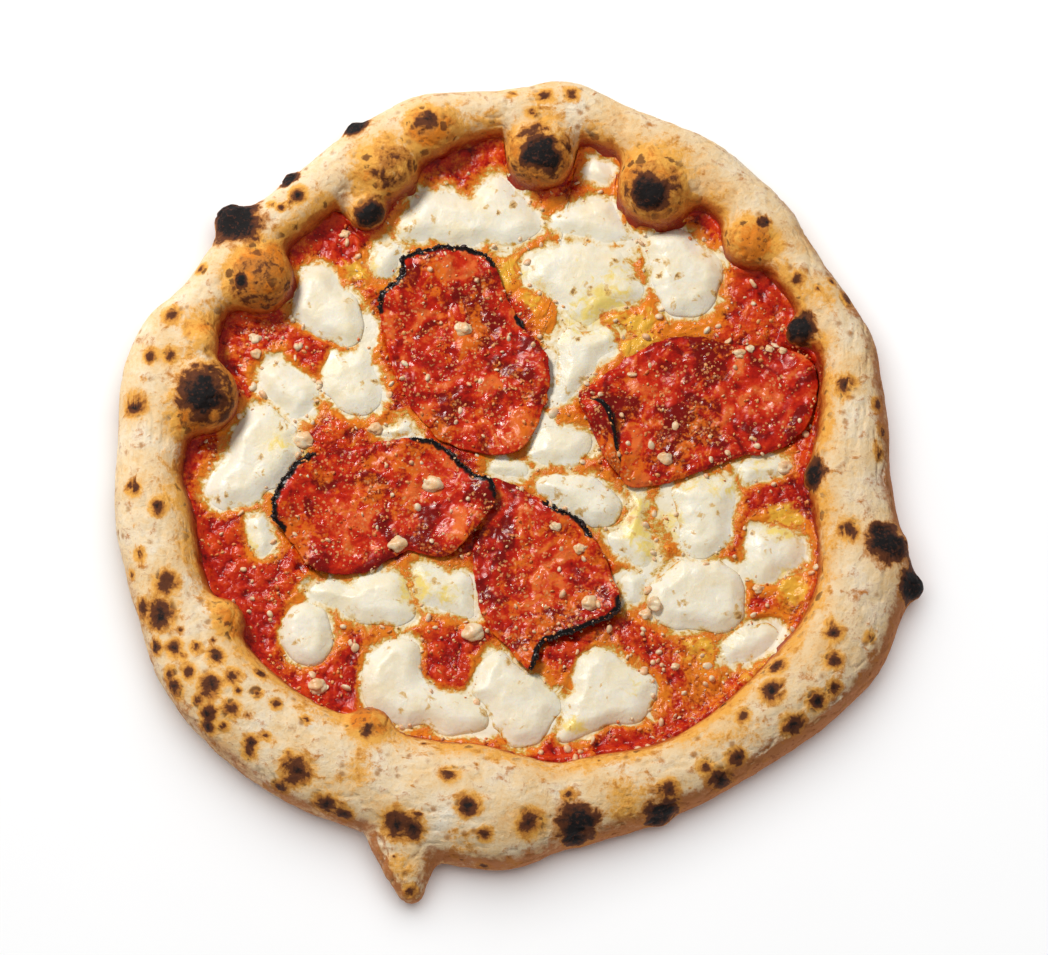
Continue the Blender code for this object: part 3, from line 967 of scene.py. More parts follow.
BUBBLES = (
    Bubble(8.6, 128, 11, 14, Bake.BROWN),
    Bubble(54.2, 115, 10.5, 16, Bake.BROWN),
    Bubble(91.3, 94, 10, 12.5, Bake.GOLD),
    Bubble(-52.7, 124, 10.5, 14.8, Bake.BROWN),
    Bubble(-58.9, 106, 9, 8.3, Bake.BROWN),
    Bubble(-33.5, 139, 13, 12.5, Bake.GOLD),
    Bubble(-101.4, 78, 11, 14.4, Bake.BROWN),
    Bubble(-123, 30, 12, 15, Bake.BROWN),
    Bubble(-125, 50.5, 15, 9, Bake.GOLD),
    Bubble(-115.4, -61, 12.5, 10, Bake.GOLD),
    Bubble(-57.7, -105.5, 14.5, 10, Bake.GOLD, 2.0),
    Bubble(-110.5, 100.5, 10, 8.8, Bake.BLACK, 10.0),
    Bubble(-88.5, 117, 11, 4, Bake.BLACK, 4.0),
    Bubble(-63.5, 137.5, 11, 4.5, Bake.BLACK, 4.5),
    Bubble(143, -32, 14, 10, Bake.PALE, 7.4),
    Bubble(152, -46, 9, 6.3, Bake.BLACK, 7.0),
    Bubble(22, -141.5, 9, 9.5, Bake.BLACK, 8.5),
    Bubble(54, -135.5, 8.5, 7, Bake.BLACK, 7.0),
    Bubble(-3, -152, 8, 6.5, Bake.BLACK, 5.0),
    Bubble(110, 57, 9, 6, Bake.BLACK, 6.0),
    Bubble(117, -2, 9.5, 6.5, Bake.BLACK, 6.0),
)
# Burned patches on the bubbles: right, up, radius in the picture's plane, and how dark they get
BURNED_PATCHES = (
    (8.9, 126.6, 8.0, 1.5), (51.7, 111.5, 7.6, 1.5), (-57.8, 103.6, 5.6, 1.5), (-122.2, 33.0, 8.2, 1.5),
    (-120.0, 33.0, 11.0, 0.45), (9.0, 128.0, 11.0, 0.26), (52.0, 112.0, 10.0, 0.26),
    (-99.0, 76.0, 10.0, 0.24), (-49.0, 122.0, 7.0, 0.28), (-36.0, 139.0, 4.0, 0.42),
    (-108.0, 78.0, 2.6, 1.2), (95.5, 100.5, 2.2, 0.7),
)
# Leopard spots burned into the rim: right, up, radius in the picture's plane
LEOPARD_SPOTS = (
    (-134.9, 64, 2.3), (-143.1, 48, 2), (-135.3, 48.4, 2), (-149, 29.2, 3.1), (-149.4, -3.9, 2),
    (-139.6, -10.9, 2.3), (-147, -29.2, 1.6), (-150.2, -37.1, 1.2), (-136.5, -40.2, 3.1),
    (-145.5, -50.7, 2.7), (-138.8, -52.6, 3.9), (-140.8, -65.5, 2), (-133.4, -65.5, 2.3),
    (-124.8, -65.1, 1.6), (-117, -68.6, 2.3), (-127.5, -74.9, 2), (-134.9, -76, 2), (-133, -81.1, 2.7),
    (-119, -80, 3.1), (-110.4, -76.4, 2.3), (-101.4, -82.7, 1.6), (-93.6, -87, 1.6),
    (-111.2, -88.9, 2.3), (-119.7, -91.3, 2.7), (-120.1, -95.9, 2.3), (-99.5, -74.9, 2),
    (-82.3, -93.2, 1.2), (-103.4, -102.2, 2), (-104.5, -106.1, 2), (-85.8, -113.1, 3.9),
    (-92, -119.3, 2.3), (-74.5, -126, 3.1), (-67.5, -129.5, 2.7), (-58.5, -97.5, 2.3),
    (-44.1, -97.5, 2.3), (-34.3, -101, 1.2), (-26.1, -114.3, 2.3), (-19.1, -126, 3.1),
    (-46.8, -133.4, 3.9), (-41.3, -134.9, 3.5), (-12.9, -137.3, 2), (-13.7, -149.8, 2),
    (4.7, -132.6, 3.5), (19.5, -122.1, 1.6), (-41.7, -159.9, 2), (58.1, -120.1, 2.7), (72.5, -111.2, 2),
    (87.4, -91.7, 2), (84.6, -108, 2.7), (78.8, -116.6, 3.5), (106.9, -95.5, 3.1), (115.8, -85.8, 2.7),
    (98.3, -81.9, 3.1), (100.2, -72.2, 2.7), (79.6, -87.8, 1.6), (122.5, -59.3, 2.3),
    (122.1, -70.2, 2.3), (122.5, -81.1, 2), (120.9, -55.4, 1.2), (136.5, -61.2, 1.6), (127.5, 36.3, 2.7),
    (140.4, 29.2, 2), (142, 18.7, 1.6), (140.4, 9.8, 2), (128.3, -19.5, 2.7), (128.7, 70.2, 2.3),
    (122.5, 76.8, 1.2), (117, 74.1, 1.2), (108.8, 78, 2), (-85.8, 111.2, 2.3), (-96.7, 107.6, 1.2),
    (-92.4, 106.1, 1.2), (-102.6, 94, 2), (-123.6, 81.9, 1.6), (10.5, 149.8, 2), (21.1, 150.9, 2),
    (5.5, 143.5, 1.6), (-2.3, 150.9, 1.2), (-158.3, -17.2, 2), (-135.7, -88.1, 2.3),
    (-129.9, -68.2, 1.2), (-124, -85.8, 1.6), (-108.4, -81.9, 1.2), (-114.3, -95.5, 1.6),
    (-97.5, -99.5, 1.2), (-88.9, -106.1, 1.2),
)
# Browned patches on the rim: right, up, radius, strength
GOLD_PATCHES = (
    (-103, 82, 14, 0.5), (-124, 62, 9, 0.4), (-110, -57, 8, 0.5), (-60, -97, 9, 0.45),
    (-62, -113, 7, 0.35), (118, 72, 8, 0.45), (93, 92, 9, 0.5), (-34, 136, 9, 0.5), (44, -125, 12, 0.45),
    (-46, -150, 7, 0.45), (73, -101, 8, 0.35), (89, -98, 8, 0.35), (-23, -141, 9, 0.35),
    (-138, -50, 9, 0.3), (128, -20, 7, 0.4), (-130, 20, 12, 0.4), (10, 147, 12, 0.25),
    (55, 127, 14, 0.25), (-74, -123, 9, 0.35), (118, -70, 9, 0.3),
)


@dataclass
class Crust:
    """The dough: base, puffed rim, bubbles and tail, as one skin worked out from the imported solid."""

    coarse_step: float = 1.6
    fine_step: float = 1.25
    first_rounding: int = 14
    second_rounding: int = 7
    bubble_share: float = 0.95
    hidden_radius: float = 98.0
    faces: int = 190_000
    swell: float = 0.9
    wrinkle: float = 0.42
    grain: float = 0.13
    crease: float = 0.55
    crackle: float = 0.6
    foot: float = 1.2
    cap_height: float = 0.72
    cap_fade: float = 1.5
    spot_char: float = 0.62
    half_width: float = 150.0
    browned_foot: float = 120.0
    near_left: tuple[float, float, float] = (-0.75, -0.66, 0.0)
    stain_reach: float = 9.0
    stain_climb: float = 17.0
    gold_reach: float = 11.5
    seed: int = 11
    reach_height: float = 6.5
    reach_spokes: int = 1440
    tree: BVHTree | None = None
    reach: np.ndarray | None = None

    def build(self) -> bpy.types.Object:
        """Makes the dough.

        Returns:
            The piece.
        """
        skin = self.rounded_skin()
        mesh = skin.data
        bpy.data.objects.remove(skin)
        self.tree = surface_tree(mesh)
        points = self.roughened(read_points(mesh), read_normals(mesh))
        write_points(mesh, points)
        for fact, values in self.bake_facts(points, read_normals(mesh)).items():
            store_fact(mesh, fact, values)
        self.tree = surface_tree(mesh)
        mesh.shade_smooth()
        return add_piece("dough", mesh, DoughFinish().build(), ("crust",))

    def rounded_skin(self) -> bpy.types.Object:
        """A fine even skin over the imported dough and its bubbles, without its facets.

        Returns:
            A loose object that holds the skin.
        """
        bm = opened(bpy.data.objects["crust"].data)
        bmesh.ops.remove_doubles(bm, verts=bm.verts, dist=1e-6)
        skin = self.remeshed(bm, self.coarse_step, self.first_rounding)
        bm = opened(skin.data)
        bpy.data.objects.remove(skin)
        for bubble in BUBBLES:
            radius = bubble.radius * self.bubble_share * MM
            ball = bmesh.ops.create_icosphere(bm, subdivisions=4, radius=radius)
            bmesh.ops.translate(bm, verts=ball["verts"], vec=Vector((bubble.x, bubble.y, bubble.z)) * MM)
        skin = self.remeshed(bm, self.fine_step, self.second_rounding)
        self.open_hidden_middle(skin.data)
        finer = skin.modifiers.new("finer", "SUBSURF")
        finer.levels = 1
        settle(skin)
        thinner = skin.modifiers.new("thinner", "DECIMATE")
        thinner.ratio = self.faces / (2 * len(skin.data.polygons))
        settle(skin)
        self.close_hidden_middle(skin.data)
        return skin

    def remeshed(self, bm: bmesh.types.BMesh, step: float, rounding: int) -> bpy.types.Object:
        """One closed skin over a bmesh, with its creases rounded.

        Args:
            bm: overlapping closed shapes; it is freed.
            step: the skin's spacing.
            rounding: passes of rounding.

        Returns:
            A loose object that holds the skin.
        """
        skin = hold("dough_skin", closed(bm, bpy.data.meshes.new("dough")))
        remesh = skin.modifiers.new("remesh", "REMESH")
        remesh.mode = "VOXEL"
        remesh.voxel_size = step * MM
        smooth = skin.modifiers.new("smooth", "SMOOTH")
        smooth.iterations = rounding
        settle(skin)
        return skin

    def open_hidden_middle(self, mesh: bpy.types.Mesh) -> None:
        """Takes out the middle of the flat base, above and below, which nobody sees.

        Args:
            mesh: the dough.
        """
        bm = opened(mesh)
        reach = self.hidden_radius * MM
        inner = [face for face in bm.faces if face.calc_center_median().xy.length < reach]
        bmesh.ops.delete(bm, geom=inner, context="FACES")
        closed(bm, mesh)

    def close_hidden_middle(self, mesh: bpy.types.Mesh) -> None:
        """Closes the base again with one wide face above and one below.

        Args:
            mesh: the dough.
        """
        bm = opened(mesh)
        edges = [edge for edge in bm.edges if edge.is_boundary]
        bmesh.ops.holes_fill(bm, edges=edges, sides=0)
        bmesh.ops.recalc_face_normals(bm, faces=bm.faces)
        closed(bm, mesh)

    def roughened(self, points: np.ndarray, normals: np.ndarray) -> np.ndarray:
        """Moves the skin by the dough's swells, wrinkles and grain.

        Args:
            points: the skin's places.
            normals: their normals.

        Returns:
            The new places.
        """
        noise = LatticeNoise(self.seed)
        depth = self.swell * noise.layered(points, 21, 2)
        depth += self.wrinkle * noise.layered(points * (1.0, 1.0, 1.6), 6.5, 3)
        depth += self.grain * noise.layered(points, 1.9, 2)
        crease = np.abs(noise.layered(points + 80.0, 13, 2))
        depth -= self.crease * (1 - smoothstep(0.0, 0.07, crease))
        crackle = self.crackle * noise.layered(points + 9.0, 2.6, 3) - 0.15
        depth += smoothstep(0.3, 0.9, self.burned(points)) * crackle
        depth *= smoothstep(0.0, self.foot, points[:, 2])
        moved = points + depth[:, None] * normals
        moved[:, 2] = np.maximum(moved[:, 2], 0.0)
        return moved

    def burned(self, points: np.ndarray) -> np.ndarray:
        """How burned the bubbles are.

        Args:
            points: the skin's places.

        Returns:
            Values from 0 up, where 1 is black.
        """
        char = np.zeros(len(points))
        for bubble in BUBBLES:
            if bubble.char:
                cap = np.array((bubble.x, bubble.y, bubble.z + self.cap_height * bubble.radius))
                away = np.linalg.norm(points - cap, axis=1)
                char = np.maximum(char, self.cap_fade - away / bubble.char)
        for away, radius, darkest in self.marks(points, BURNED_PATCHES):
            char = np.maximum(char, np.minimum(self.cap_fade - away / radius, darkest))
        return char

    def marks(self, points: np.ndarray, table: Table) -> Iterator[tuple[np.ndarray | float, ...]]:
        """Reads a table of marks in the picture's plane.

        Args:
            points: the skin's places.
            table: each mark's place in the picture, and its other values.

        Yields:
            For each mark, how far every point is from it, and its other values.
        """
        for right, up, *values in table:
            place = dropped(self.tree, right, up)
            if place is not None:
                yield np.linalg.norm(points - place, axis=1), *values

    def bake_facts(self, points: np.ndarray, normals: np.ndarray) -> dict[str, np.ndarray]:
        """How brown, burned and sauce-stained the dough is, and where painted shade turns its outer slope
        russet.

        Args:
            points: the skin's places.
            normals: their normals.

        Returns:
            The facts `bake`, `char`, `stain` and `russet`.
        """
        noise = LatticeNoise(self.seed + 1)
        patch = noise.layered(points, 17, 3)
        bake = 0.3 * patch
        ragged = noise.layered(points + 30.0, 9, 4, 0.7)
        char = self.burned(points)
        char += 0.6 * ragged * (char > 0.01)
        for bubble in BUBBLES:
            out = points - (bubble.x, bubble.y, bubble.z)
            away = np.linalg.norm(out, axis=1) / bubble.radius
            inward = -(out[:, :2] @ (bubble.x, bubble.y)) / (math.hypot(bubble.x, bubble.y) * bubble.radius)
            glow = 0.35 + 0.65 * smoothstep(-1.1, 0.3, inward)
            glow *= 1 - smoothstep(0.7, 1.55, away + 0.5 * ragged)
            bake = np.maximum(bake, glow * (bubble.bake.value + 0.5 * patch))
        for away, radius, strength in self.marks(points, GOLD_PATCHES):
            bake += strength * np.clip((1 - away / (1.4 * radius)) * 1.6, 0, 1)
        for away, radius in self.marks(points, LEOPARD_SPOTS):
            char = np.maximum(char, self.spot_char + 0.08 * radius - 0.45 * (away / radius))
            bake = np.maximum(bake, 0.75 * (1 - smoothstep(1.0, 3.0, away / radius)))
        char, bake = self.random_spots(points, noise, char, bake)
        around = np.arctan2(points[:, 1], points[:, 0])
        out = np.hypot(points[:, 0], points[:, 1])
        reach = self.inner_reach(around)
        stain = 1.15 - (out - reach) / self.stain_reach
        stain -= np.maximum(points[:, 2] - 9.0, 0) / self.stain_climb
        stain += 0.4 * noise.layered(points + 50.0, 9, 3)
        gilded = 1.2 - (out - reach) / self.gold_reach + 0.7 * noise.layered(points + 70.0, 13, 3)
        bake = np.maximum(bake, 0.66 * np.clip(gilded, 0, 1))
        under = smoothstep(0.2, 0.8, -normals[:, 2])
        bake += 0.3 * under * (out > self.browned_foot)
        # The outer slope low down turns russet: partly browned dough, partly painted shade, strongest towards
        # the lower right, away from the light, with more painted shade over the right side's outer rim
        shaded_side = np.clip(0.55 + (0.27 * points[:, 0] - 0.48 * points[:, 1]) / self.half_width, 0.1, 1.2)
        low = smoothstep(0.99, 0.66, normals[:, 2]) * smoothstep(23, 15, points[:, 2])
        right = 0.35 * (points[:, 0] > 0) * points[:, 0] / self.half_width
        russet = shaded_side * (low * (1.05 + 0.6 * ragged) + right)
        russet *= smoothstep(reach + 8, reach + 20, out)
        facts = {"bake": bake, "char": char, "stain": stain, "russet": russet}
        return {fact: np.clip(values, 0, 1.4) for fact, values in facts.items()}

    def random_spots(
        self, points: np.ndarray, noise: LatticeNoise, char: np.ndarray, bake: np.ndarray
    ) -> tuple[np.ndarray, np.ndarray]:
        """Scatters small burned spots, many at the near left side and low on the outside.

        Args:
            points: the skin's places.
            noise: where the spots gather.
            char: how burned the skin is so far.
            bake: how brown it is so far.

        Returns:
            The new char and bake.
        """
        near_left = smoothstep(0.2, 0.9, (points @ np.array(self.near_left)) / self.half_width)
        low = smoothstep(11, 3, points[:, 2])
        for size, limit in ((9.0, 0.17), (5.5, 0.13)):
            nearest, value = noise.cells(points, size)
            wanted = value < 0.08 + 0.32 * near_left + 0.3 * low
            radius = limit * (0.6 + 1.1 * value)
            char = np.maximum(char, np.where(wanted, self.spot_char - 0.4 * nearest / radius, 0))
            bake = np.maximum(bake, np.where(wanted, 0.4 * (1 - smoothstep(1.0, 2.6, nearest / radius)), 0))
        return char, bake

    def inner_reach(self, angles: np.ndarray) -> np.ndarray:
        """How far it is from the middle to the dough at the toppings' height.

        Args:
            angles: directions in plan.

        Returns:
            One distance for each angle.
        """
        if self.reach is None:
            found = []
            start = Vector((0.0, 0.0, self.reach_height * MM))
            for turn in math.tau * np.arange(self.reach_spokes) / self.reach_spokes:
                hit = self.tree.ray_cast(start, Vector((math.cos(turn), math.sin(turn), 0.0)))
                found.append(hit[3] / MM)
            self.reach = np.array(found + found[:1])
        place = np.mod(angles, math.tau) / math.tau * self.reach_spokes
        return np.interp(place, np.arange(self.reach_spokes + 1), self.reach)


# ----------------------------------------------------------------------------------------- toppings


class Disc:
    """An even grid of quads on a round patch, given by how far out each corner is and at what turn."""

    def __init__(self, count: int) -> None:
        """Lays the grid.

        Args:
            count: corners along a side of the square that the disc is bent from.
        """
        line = np.linspace(-1, 1, count)
        across, upward = (axis.ravel() for axis in np.meshgrid(line, line))
        wide = np.abs(across) >= np.abs(upward)
        longer = np.where(wide, across, upward)
        shorter = np.where(wide, upward, across)
        slope = np.divide(shorter, longer, out=np.zeros_like(longer), where=longer != 0) * math.pi / 4
        turn = np.where(wide, slope, math.pi / 2 - slope) + np.where(longer < 0, math.pi, 0)
        self.share = np.abs(longer)
        self.turn = np.mod(turn / math.tau, 1.0)
        index = np.arange(count * count).reshape(count, count)
        quads = (index[:-1, :-1], index[:-1, 1:], index[1:, 1:], index[1:, :-1])
        self.faces = np.stack(quads, axis=-1).reshape(-1, 4)
        self.rim = np.concatenate((index[0, :-1], index[:-1, -1], index[-1, :0:-1], index[:0:-1, 0]))

    def spread(self, middle: np.ndarray, outline: np.ndarray) -> np.ndarray:
        """The grid's plan places when it fills an outline, counter-clockwise from above, from its middle."""
        return middle + self.share[:, None] * (along_ring(outline, self.turn) - middle)

    def sheet_faces(self) -> list[list[int]]:
        """The faces of a closed sheet whose lower vertices follow its upper ones.

        Returns:
            Each face's vertices.
        """
        count = len(self.share)
        after = np.roll(self.rim, -1)
        side = np.column_stack((self.rim, self.rim + count, after + count, after))
        return np.vstack((self.faces, self.faces[:, ::-1] + count, side)).tolist()

    def capped_faces(self) -> list[list[int]]:
        """The faces of a closed bowl: the grid, a ring of vertices below its rim, and a face under them.

        Returns:
            Each face's vertices.
        """
        count = len(self.share)
        foot = count + np.arange(len(self.rim))
        side = np.column_stack((self.rim, foot, np.roll(foot, -1), np.roll(self.rim, -1)))
        return [*self.faces.tolist(), *side.tolist(), foot[::-1].tolist()]


def nearest_outline(points: np.ndarray, outlines: list[np.ndarray], limit: float) -> np.ndarray:
    """Distance from plan places to the nearest of some outlines, negative inside.

    Args:
        points: the places.
        outlines: the outlines' corners.
        limit: the longest distance worth telling.

    Returns:
        One distance for each place.
    """
    nearest = np.full(len(points), limit)
    for outline in outlines:
        low, high = outline.min(axis=0) - limit, outline.max(axis=0) + limit
        some = np.flatnonzero(((points > low) & (points < high)).all(axis=1))
        if len(some):
            nearest[some] = np.minimum(nearest[some], polygon_distance(points[some], outline))
    return nearest


class DistanceMap:
    """Distances to outlines, worked out once on a square grid over the pizza and read between its lines."""

    def __init__(
        self, outlines: list[np.ndarray], limit: float = 8.0, half: float = 140.0, step: float = 0.7
    ) -> None:
        """Fills the grid.

        Args:
            outlines: the outlines' corners.
            limit: the longest distance worth telling.
            half: how far the grid reaches from the middle.
            step: its spacing.
        """
        self.half, self.step = half, step
        line = np.arange(-half, half, step)
        grid = np.stack(np.meshgrid(line, line, indexing="ij"), axis=-1)
        self.table = nearest_outline(grid.reshape(-1, 2), outlines, limit).reshape(len(line), len(line))

    def at(self, plan: np.ndarray) -> np.ndarray:
        """The distances at plan places.

        Args:
            plan: N by 2 places.

        Returns:
            One distance each, negative inside an outline.
        """
        place = np.clip((plan + self.half) / self.step, 0, len(self.table) - 1.001)
        index = place.astype(int)
        part = place - index
        column, row = index[:, 0], index[:, 1]
        low, high = (
            self.table[line, row] * (1 - part[:, 1]) + self.table[line, row + 1] * part[:, 1]
            for line in (column, column + 1)
        )
        return low * (1 - part[:, 0]) + high * part[:, 0]


@dataclass
class Terrain:
    """What later toppings need to know of earlier ones: their outlines in plan and their surfaces."""

    slices: list[np.ndarray] = field(default_factory=list)
    cheeses: list[np.ndarray] = field(default_factory=list)
    meshes: list[bpy.types.Mesh] = field(default_factory=list)
    burned: list[np.ndarray] = field(default_factory=list)
    slice_map: DistanceMap | None = None
    cheese_map: DistanceMap | None = None

    def survey(self) -> None:
        """Works out the distances to all slices and to all cheese, once they are laid."""
        self.slice_map = DistanceMap(self.slices)
        self.cheese_map = DistanceMap(self.cheeses)

    def surface(self) -> BVHTree:
        """One search tree over every surface laid so far.

        Returns:
            The tree.
        """
        points, faces = [], []
        for mesh in self.meshes:
            first = len(points)
            points.extend(vertex.co for vertex in mesh.vertices)
            faces.extend([first + index for index in polygon.vertices] for polygon in mesh.polygons)
        return BVHTree.FromPolygons(points, faces)


def round_pools(plan: np.ndarray, pools: Table) -> np.ndarray:
    """The strongest of some round pools at each place, which fade out at their edges.

    Args:
        plan: plan places.
        pools: x, y, half width, half length and strength of each.

    Returns:
        Values from 0 up.
    """
    total = np.zeros(len(plan))
    for x, y, half_width, half_length, strength in pools:
        away = np.hypot((plan[:, 0] - x) / half_width, (plan[:, 1] - y) / half_length)
        total = np.maximum(total, strength * np.clip(1.4 - 0.8 * away, 0, 1))
    return total


@dataclass(frozen=True)
class Slice:
    """One salami slice, its outline clockwise from above."""

    number: int
    middle: tuple[float, float]
    outline: Outline
    lifts: Table
    """Where it stands off the pizza: x, y, how wide and how high."""
    burned: tuple[tuple[float, float], ...] = ()
    """Stretches of the outline that are burned black, by their first and last corners' numbers."""


SLICES = (
    Slice(
        1, (-22, 50),
        (
            (-54, 71), (-46, 79), (-44, 88), (-28, 91.5), (-12, 88), (-5, 73), (3, 59), (11, 48),
            (11.5, 31), (3, 12), (-8, 8), (-30, 14), (-44, 32), (-51, 51),
        ),
        ((-50, 76, 14, 4), (-28, 92, 12, 3.5), (-9, 84, 9, 2.5), (13, 44, 11, 2), (1, 8, 9, 2)),
        ((-0.3, 4.3), (5.65, 5.95)),
    ),
    Slice(
        2, (72, 26),
        (
            (24, 30), (30, 37), (51, 52), (67, 55.5), (85, 52.5), (105, 50.5), (116, 42), (114, 22),
            (102, 10), (86, 7), (71, 1), (56, -4), (42, -4), (38, 8), (31, 20),
        ),
        ((27, 24, 9, 6), (38, 5, 8, 4), (117, 44, 12, 2), (112, 20, 10, 1.5), (67, 56, 13, 1.2)),
    ),
    Slice(
        3, (-54, -12),
        (
            (-95.5, -15), (-91, -2), (-79, 8), (-58, 12), (-46, 13.5), (-31, 12), (-17, -1), (-11, -3),
            (-9, -12), (-22, -29), (-31, -33), (-44, -31), (-58, -39), (-78, -39), (-90, -25),
        ),
        (
            (-95, -12, 12, 4.5), (-84, 6, 10, 3), (-42, 14, 12, 3), (-12, -5, 11, 6), (-17, -25, 10, 4.5),
            (-80, -39, 10, 2),
        ),
        ((-0.8, 2.0), (4.3, 7.8)),
    ),
    Slice(
        4, (10, -38),
        (
            (-14, -4), (-4, -3), (14, -13.5), (25, -20), (34, -34), (39.5, -51), (37.5, -57), (21, -64),
            (10, -68), (5, -79), (-4, -70), (-13, -58), (-17, -42), (-17, -24),
        ),
        ((17, -14, 10, 3), (32, -28, 9, 3.5), (41, -54, 10, 3.5), (6, -78, 9, 3), (24, -65, 8, 2.5)),
        ((1.8, 3.4), (5.0, 9.0)),
    ),
)
# This slice's left edge curls up and over: where it folds, and its burned free edge (x, y and height)
CURLED_SLICE = 2
FLAP_FOLD = ((24.2, 29.1, 8.4), (27.3, 21.8, 9.6), (30.8, 13.8, 9.0), (34.7, 5.7, 9.3), (39.8, -0.4, 8.0))
FLAP_EDGE = (
    (25, 29.9, 9.4), (32, 28.7, 11.6), (35.9, 24.7, 11.8), (37.8, 16.6, 10.8), (38.6, 8.5, 11.0),
    (41, 2.8, 9.6),
)


@dataclass
class Salami:
    """The slices: thin oily sheets, lumpy above, with lifted and burned edges."""

    grid: int = 150
    thickness: float = 1.4
    wave: float = 0.7
    wave_width: float = 14.3
    edge_wobble: float = 1.5
    lump: float = 0.8
    lump_width: float = 7.5
    wrinkle: float = 0.5
    grain: float = 0.06
    burn_width: float = 2.2
    bead_height: float = 0.8
    flap_arch: float = 2.2
    flap_thickness: float = 1.3
    flap_rows: int = 26
    flap_columns: int = 80
    seed: int = 60
    lift_seed: int = 40

    def build(self, terrain: Terrain) -> list[bpy.types.Object]:
        """Makes every slice.

        Args:
            terrain: takes the slices' outlines and meshes.

        Returns:
            The pieces.
        """
        finish = SalamiFinish().build()
        disc = Disc(self.grid)
        return [self.lay(design, disc, terrain, finish) for design in SLICES]

    def lay(
        self, design: Slice, disc: Disc, terrain: Terrain, finish: bpy.types.Material
    ) -> bpy.types.Object:
        """Makes one slice.

        Args:
            design: the slice.
            disc: the grid it is bent from.
            terrain: takes its outline and mesh.
            finish: its material.

        Returns:
            The piece.
        """
        noise = LatticeNoise(self.seed + design.number)
        outline, corner = self.outline(design, noise)
        plan = disc.spread(np.array(design.middle, dtype=float), outline)
        inward = smoothstep(1.0, 0.93, disc.share)
        under = TOPPING_BOTTOM + self.lift(design, plan)
        relief = self.relief(noise, plan)
        edges = self.burned_edges(design, outline, corner)
        burn = self.burn(edges, plan, noise)
        top = under + self.thickness * (0.55 + 0.45 * inward) + relief * (0.35 + 0.65 * inward)
        top += 0.5 * burn * noise.layered(flat(plan), 1.7, 2)
        low = under + 0.2 * relief
        points = np.vstack((np.column_stack((plan, top)), np.column_stack((plan, low))))
        facts = {"relief": np.tile(np.clip(0.5 + relief / 2.4, 0, 1), 2), "burn": np.tile(burn, 2)}
        mesh = make_mesh(f"slice_{design.number}", points, disc.sheet_faces(), facts)
        for edge in edges:
            height = TOPPING_BOTTOM + self.lift(design, edge) + self.bead_height
            terrain.burned.append(np.column_stack((edge, height)))
        if design.number == CURLED_SLICE:
            mesh = self.with_flap(mesh, terrain, noise)
        terrain.slices.append(outline)
        terrain.meshes.append(mesh)
        return add_piece(f"slice_{design.number}", mesh, finish, (f"salami_{design.number}",))

    def outline(self, design: Slice, noise: LatticeNoise) -> tuple[np.ndarray, np.ndarray]:
        """A slice's fine ragged outline.

        Args:
            design: the slice.
            noise: roughens it.

        Returns:
            Its corners counter-clockwise from above, and the number of the table's corner that each is at.
        """
        turns = np.linspace(1, 0, 2 * self.grid, endpoint=False)
        smooth = along_ring(design.outline, turns)
        out = smooth - design.middle
        length = np.linalg.norm(out, axis=1)
        wobble = self.edge_wobble * noise.layered(flat(smooth), 5.5, 3)
        return design.middle + out * ((length + wobble) / length)[:, None], turns * len(design.outline)

    def lift(self, design: Slice, points: np.ndarray) -> np.ndarray:
        """How far a slice's underside stands off the pizza.

        Args:
            design: the slice.
            points: plan places.

        Returns:
            One height for each place.
        """
        lattice = LatticeNoise(self.lift_seed + design.number)
        height = self.wave * (0.5 + 0.5 * lattice.smooth(flat(points), self.wave_width))
        for x, y, radius, rise in design.lifts:
            height += rise * np.exp(-((points[:, 0] - x) ** 2 + (points[:, 1] - y) ** 2) / radius**2)
        return height

    def relief(self, noise: LatticeNoise, plan: np.ndarray) -> np.ndarray:
        """The lumps and wrinkles of a slice's upper side.

        Args:
            noise: the slice's own noise.
            plan: N by 2 places.

        Returns:
            One height for each place.
        """
        place = flat(plan)
        warp = warped(noise, place, 6, 1.6, (0.0, 31.0, 67.0))
        total = 0.8 * self.wrinkle * noise.layered(place, 12, 2)
        for width, depth in ((self.lump_width, self.lump), (0.45 * self.lump_width, 0.45 * self.lump)):
            nearest, value = noise.cells(warp, width)
            total += depth * (np.sqrt(np.clip(1 - (nearest / 0.75) ** 2, 0, 1)) * (0.2 + 0.8 * value) - 0.4)
        crease = np.abs(noise.layered(place + 90.0, 9, 2))
        return total + self.wrinkle * (1 - 2.6 * crease) + self.grain * noise.layered(place, 1.6, 2)

    def burned_edges(self, design: Slice, outline: np.ndarray, corner: np.ndarray) -> list[np.ndarray]:
        """The stretches of a slice's outline that are burned.

        Args:
            design: the slice.
            outline: its fine outline.
            corner: the number of the table's corner that each point of the outline is at.

        Returns:
            The points of each stretch, in order.
        """
        edges = []
        for first, last in design.burned:
            number = np.where((corner > last) & (first < 0), corner - len(design.outline), corner)
            order = np.argsort(number)
            edges.append(outline[order][(number[order] >= first) & (number[order] <= last)])
        return edges

    def burn(self, edges: list[np.ndarray], plan: np.ndarray, noise: LatticeNoise) -> np.ndarray:
        """How burned a slice is: black along its burned edges, and dark for a little way in.

        Args:
            edges: the burned stretches of its outline.
            plan: the places to tell of.
            noise: roughens the burn.

        Returns:
            Values from 0 to 1.
        """
        burn = np.zeros(len(plan))
        for edge in edges:
            gaps = (np.linalg.norm(some[:, None] - edge[None], axis=2) for some in in_batches(plan))
            away = np.concatenate([gap.min(axis=1) for gap in gaps])
            burn = np.maximum(burn, 1.2 - away / self.burn_width)
        return np.clip(burn + 0.45 * (burn > 0) * noise.layered(flat(plan), 3, 2), 0, 1)

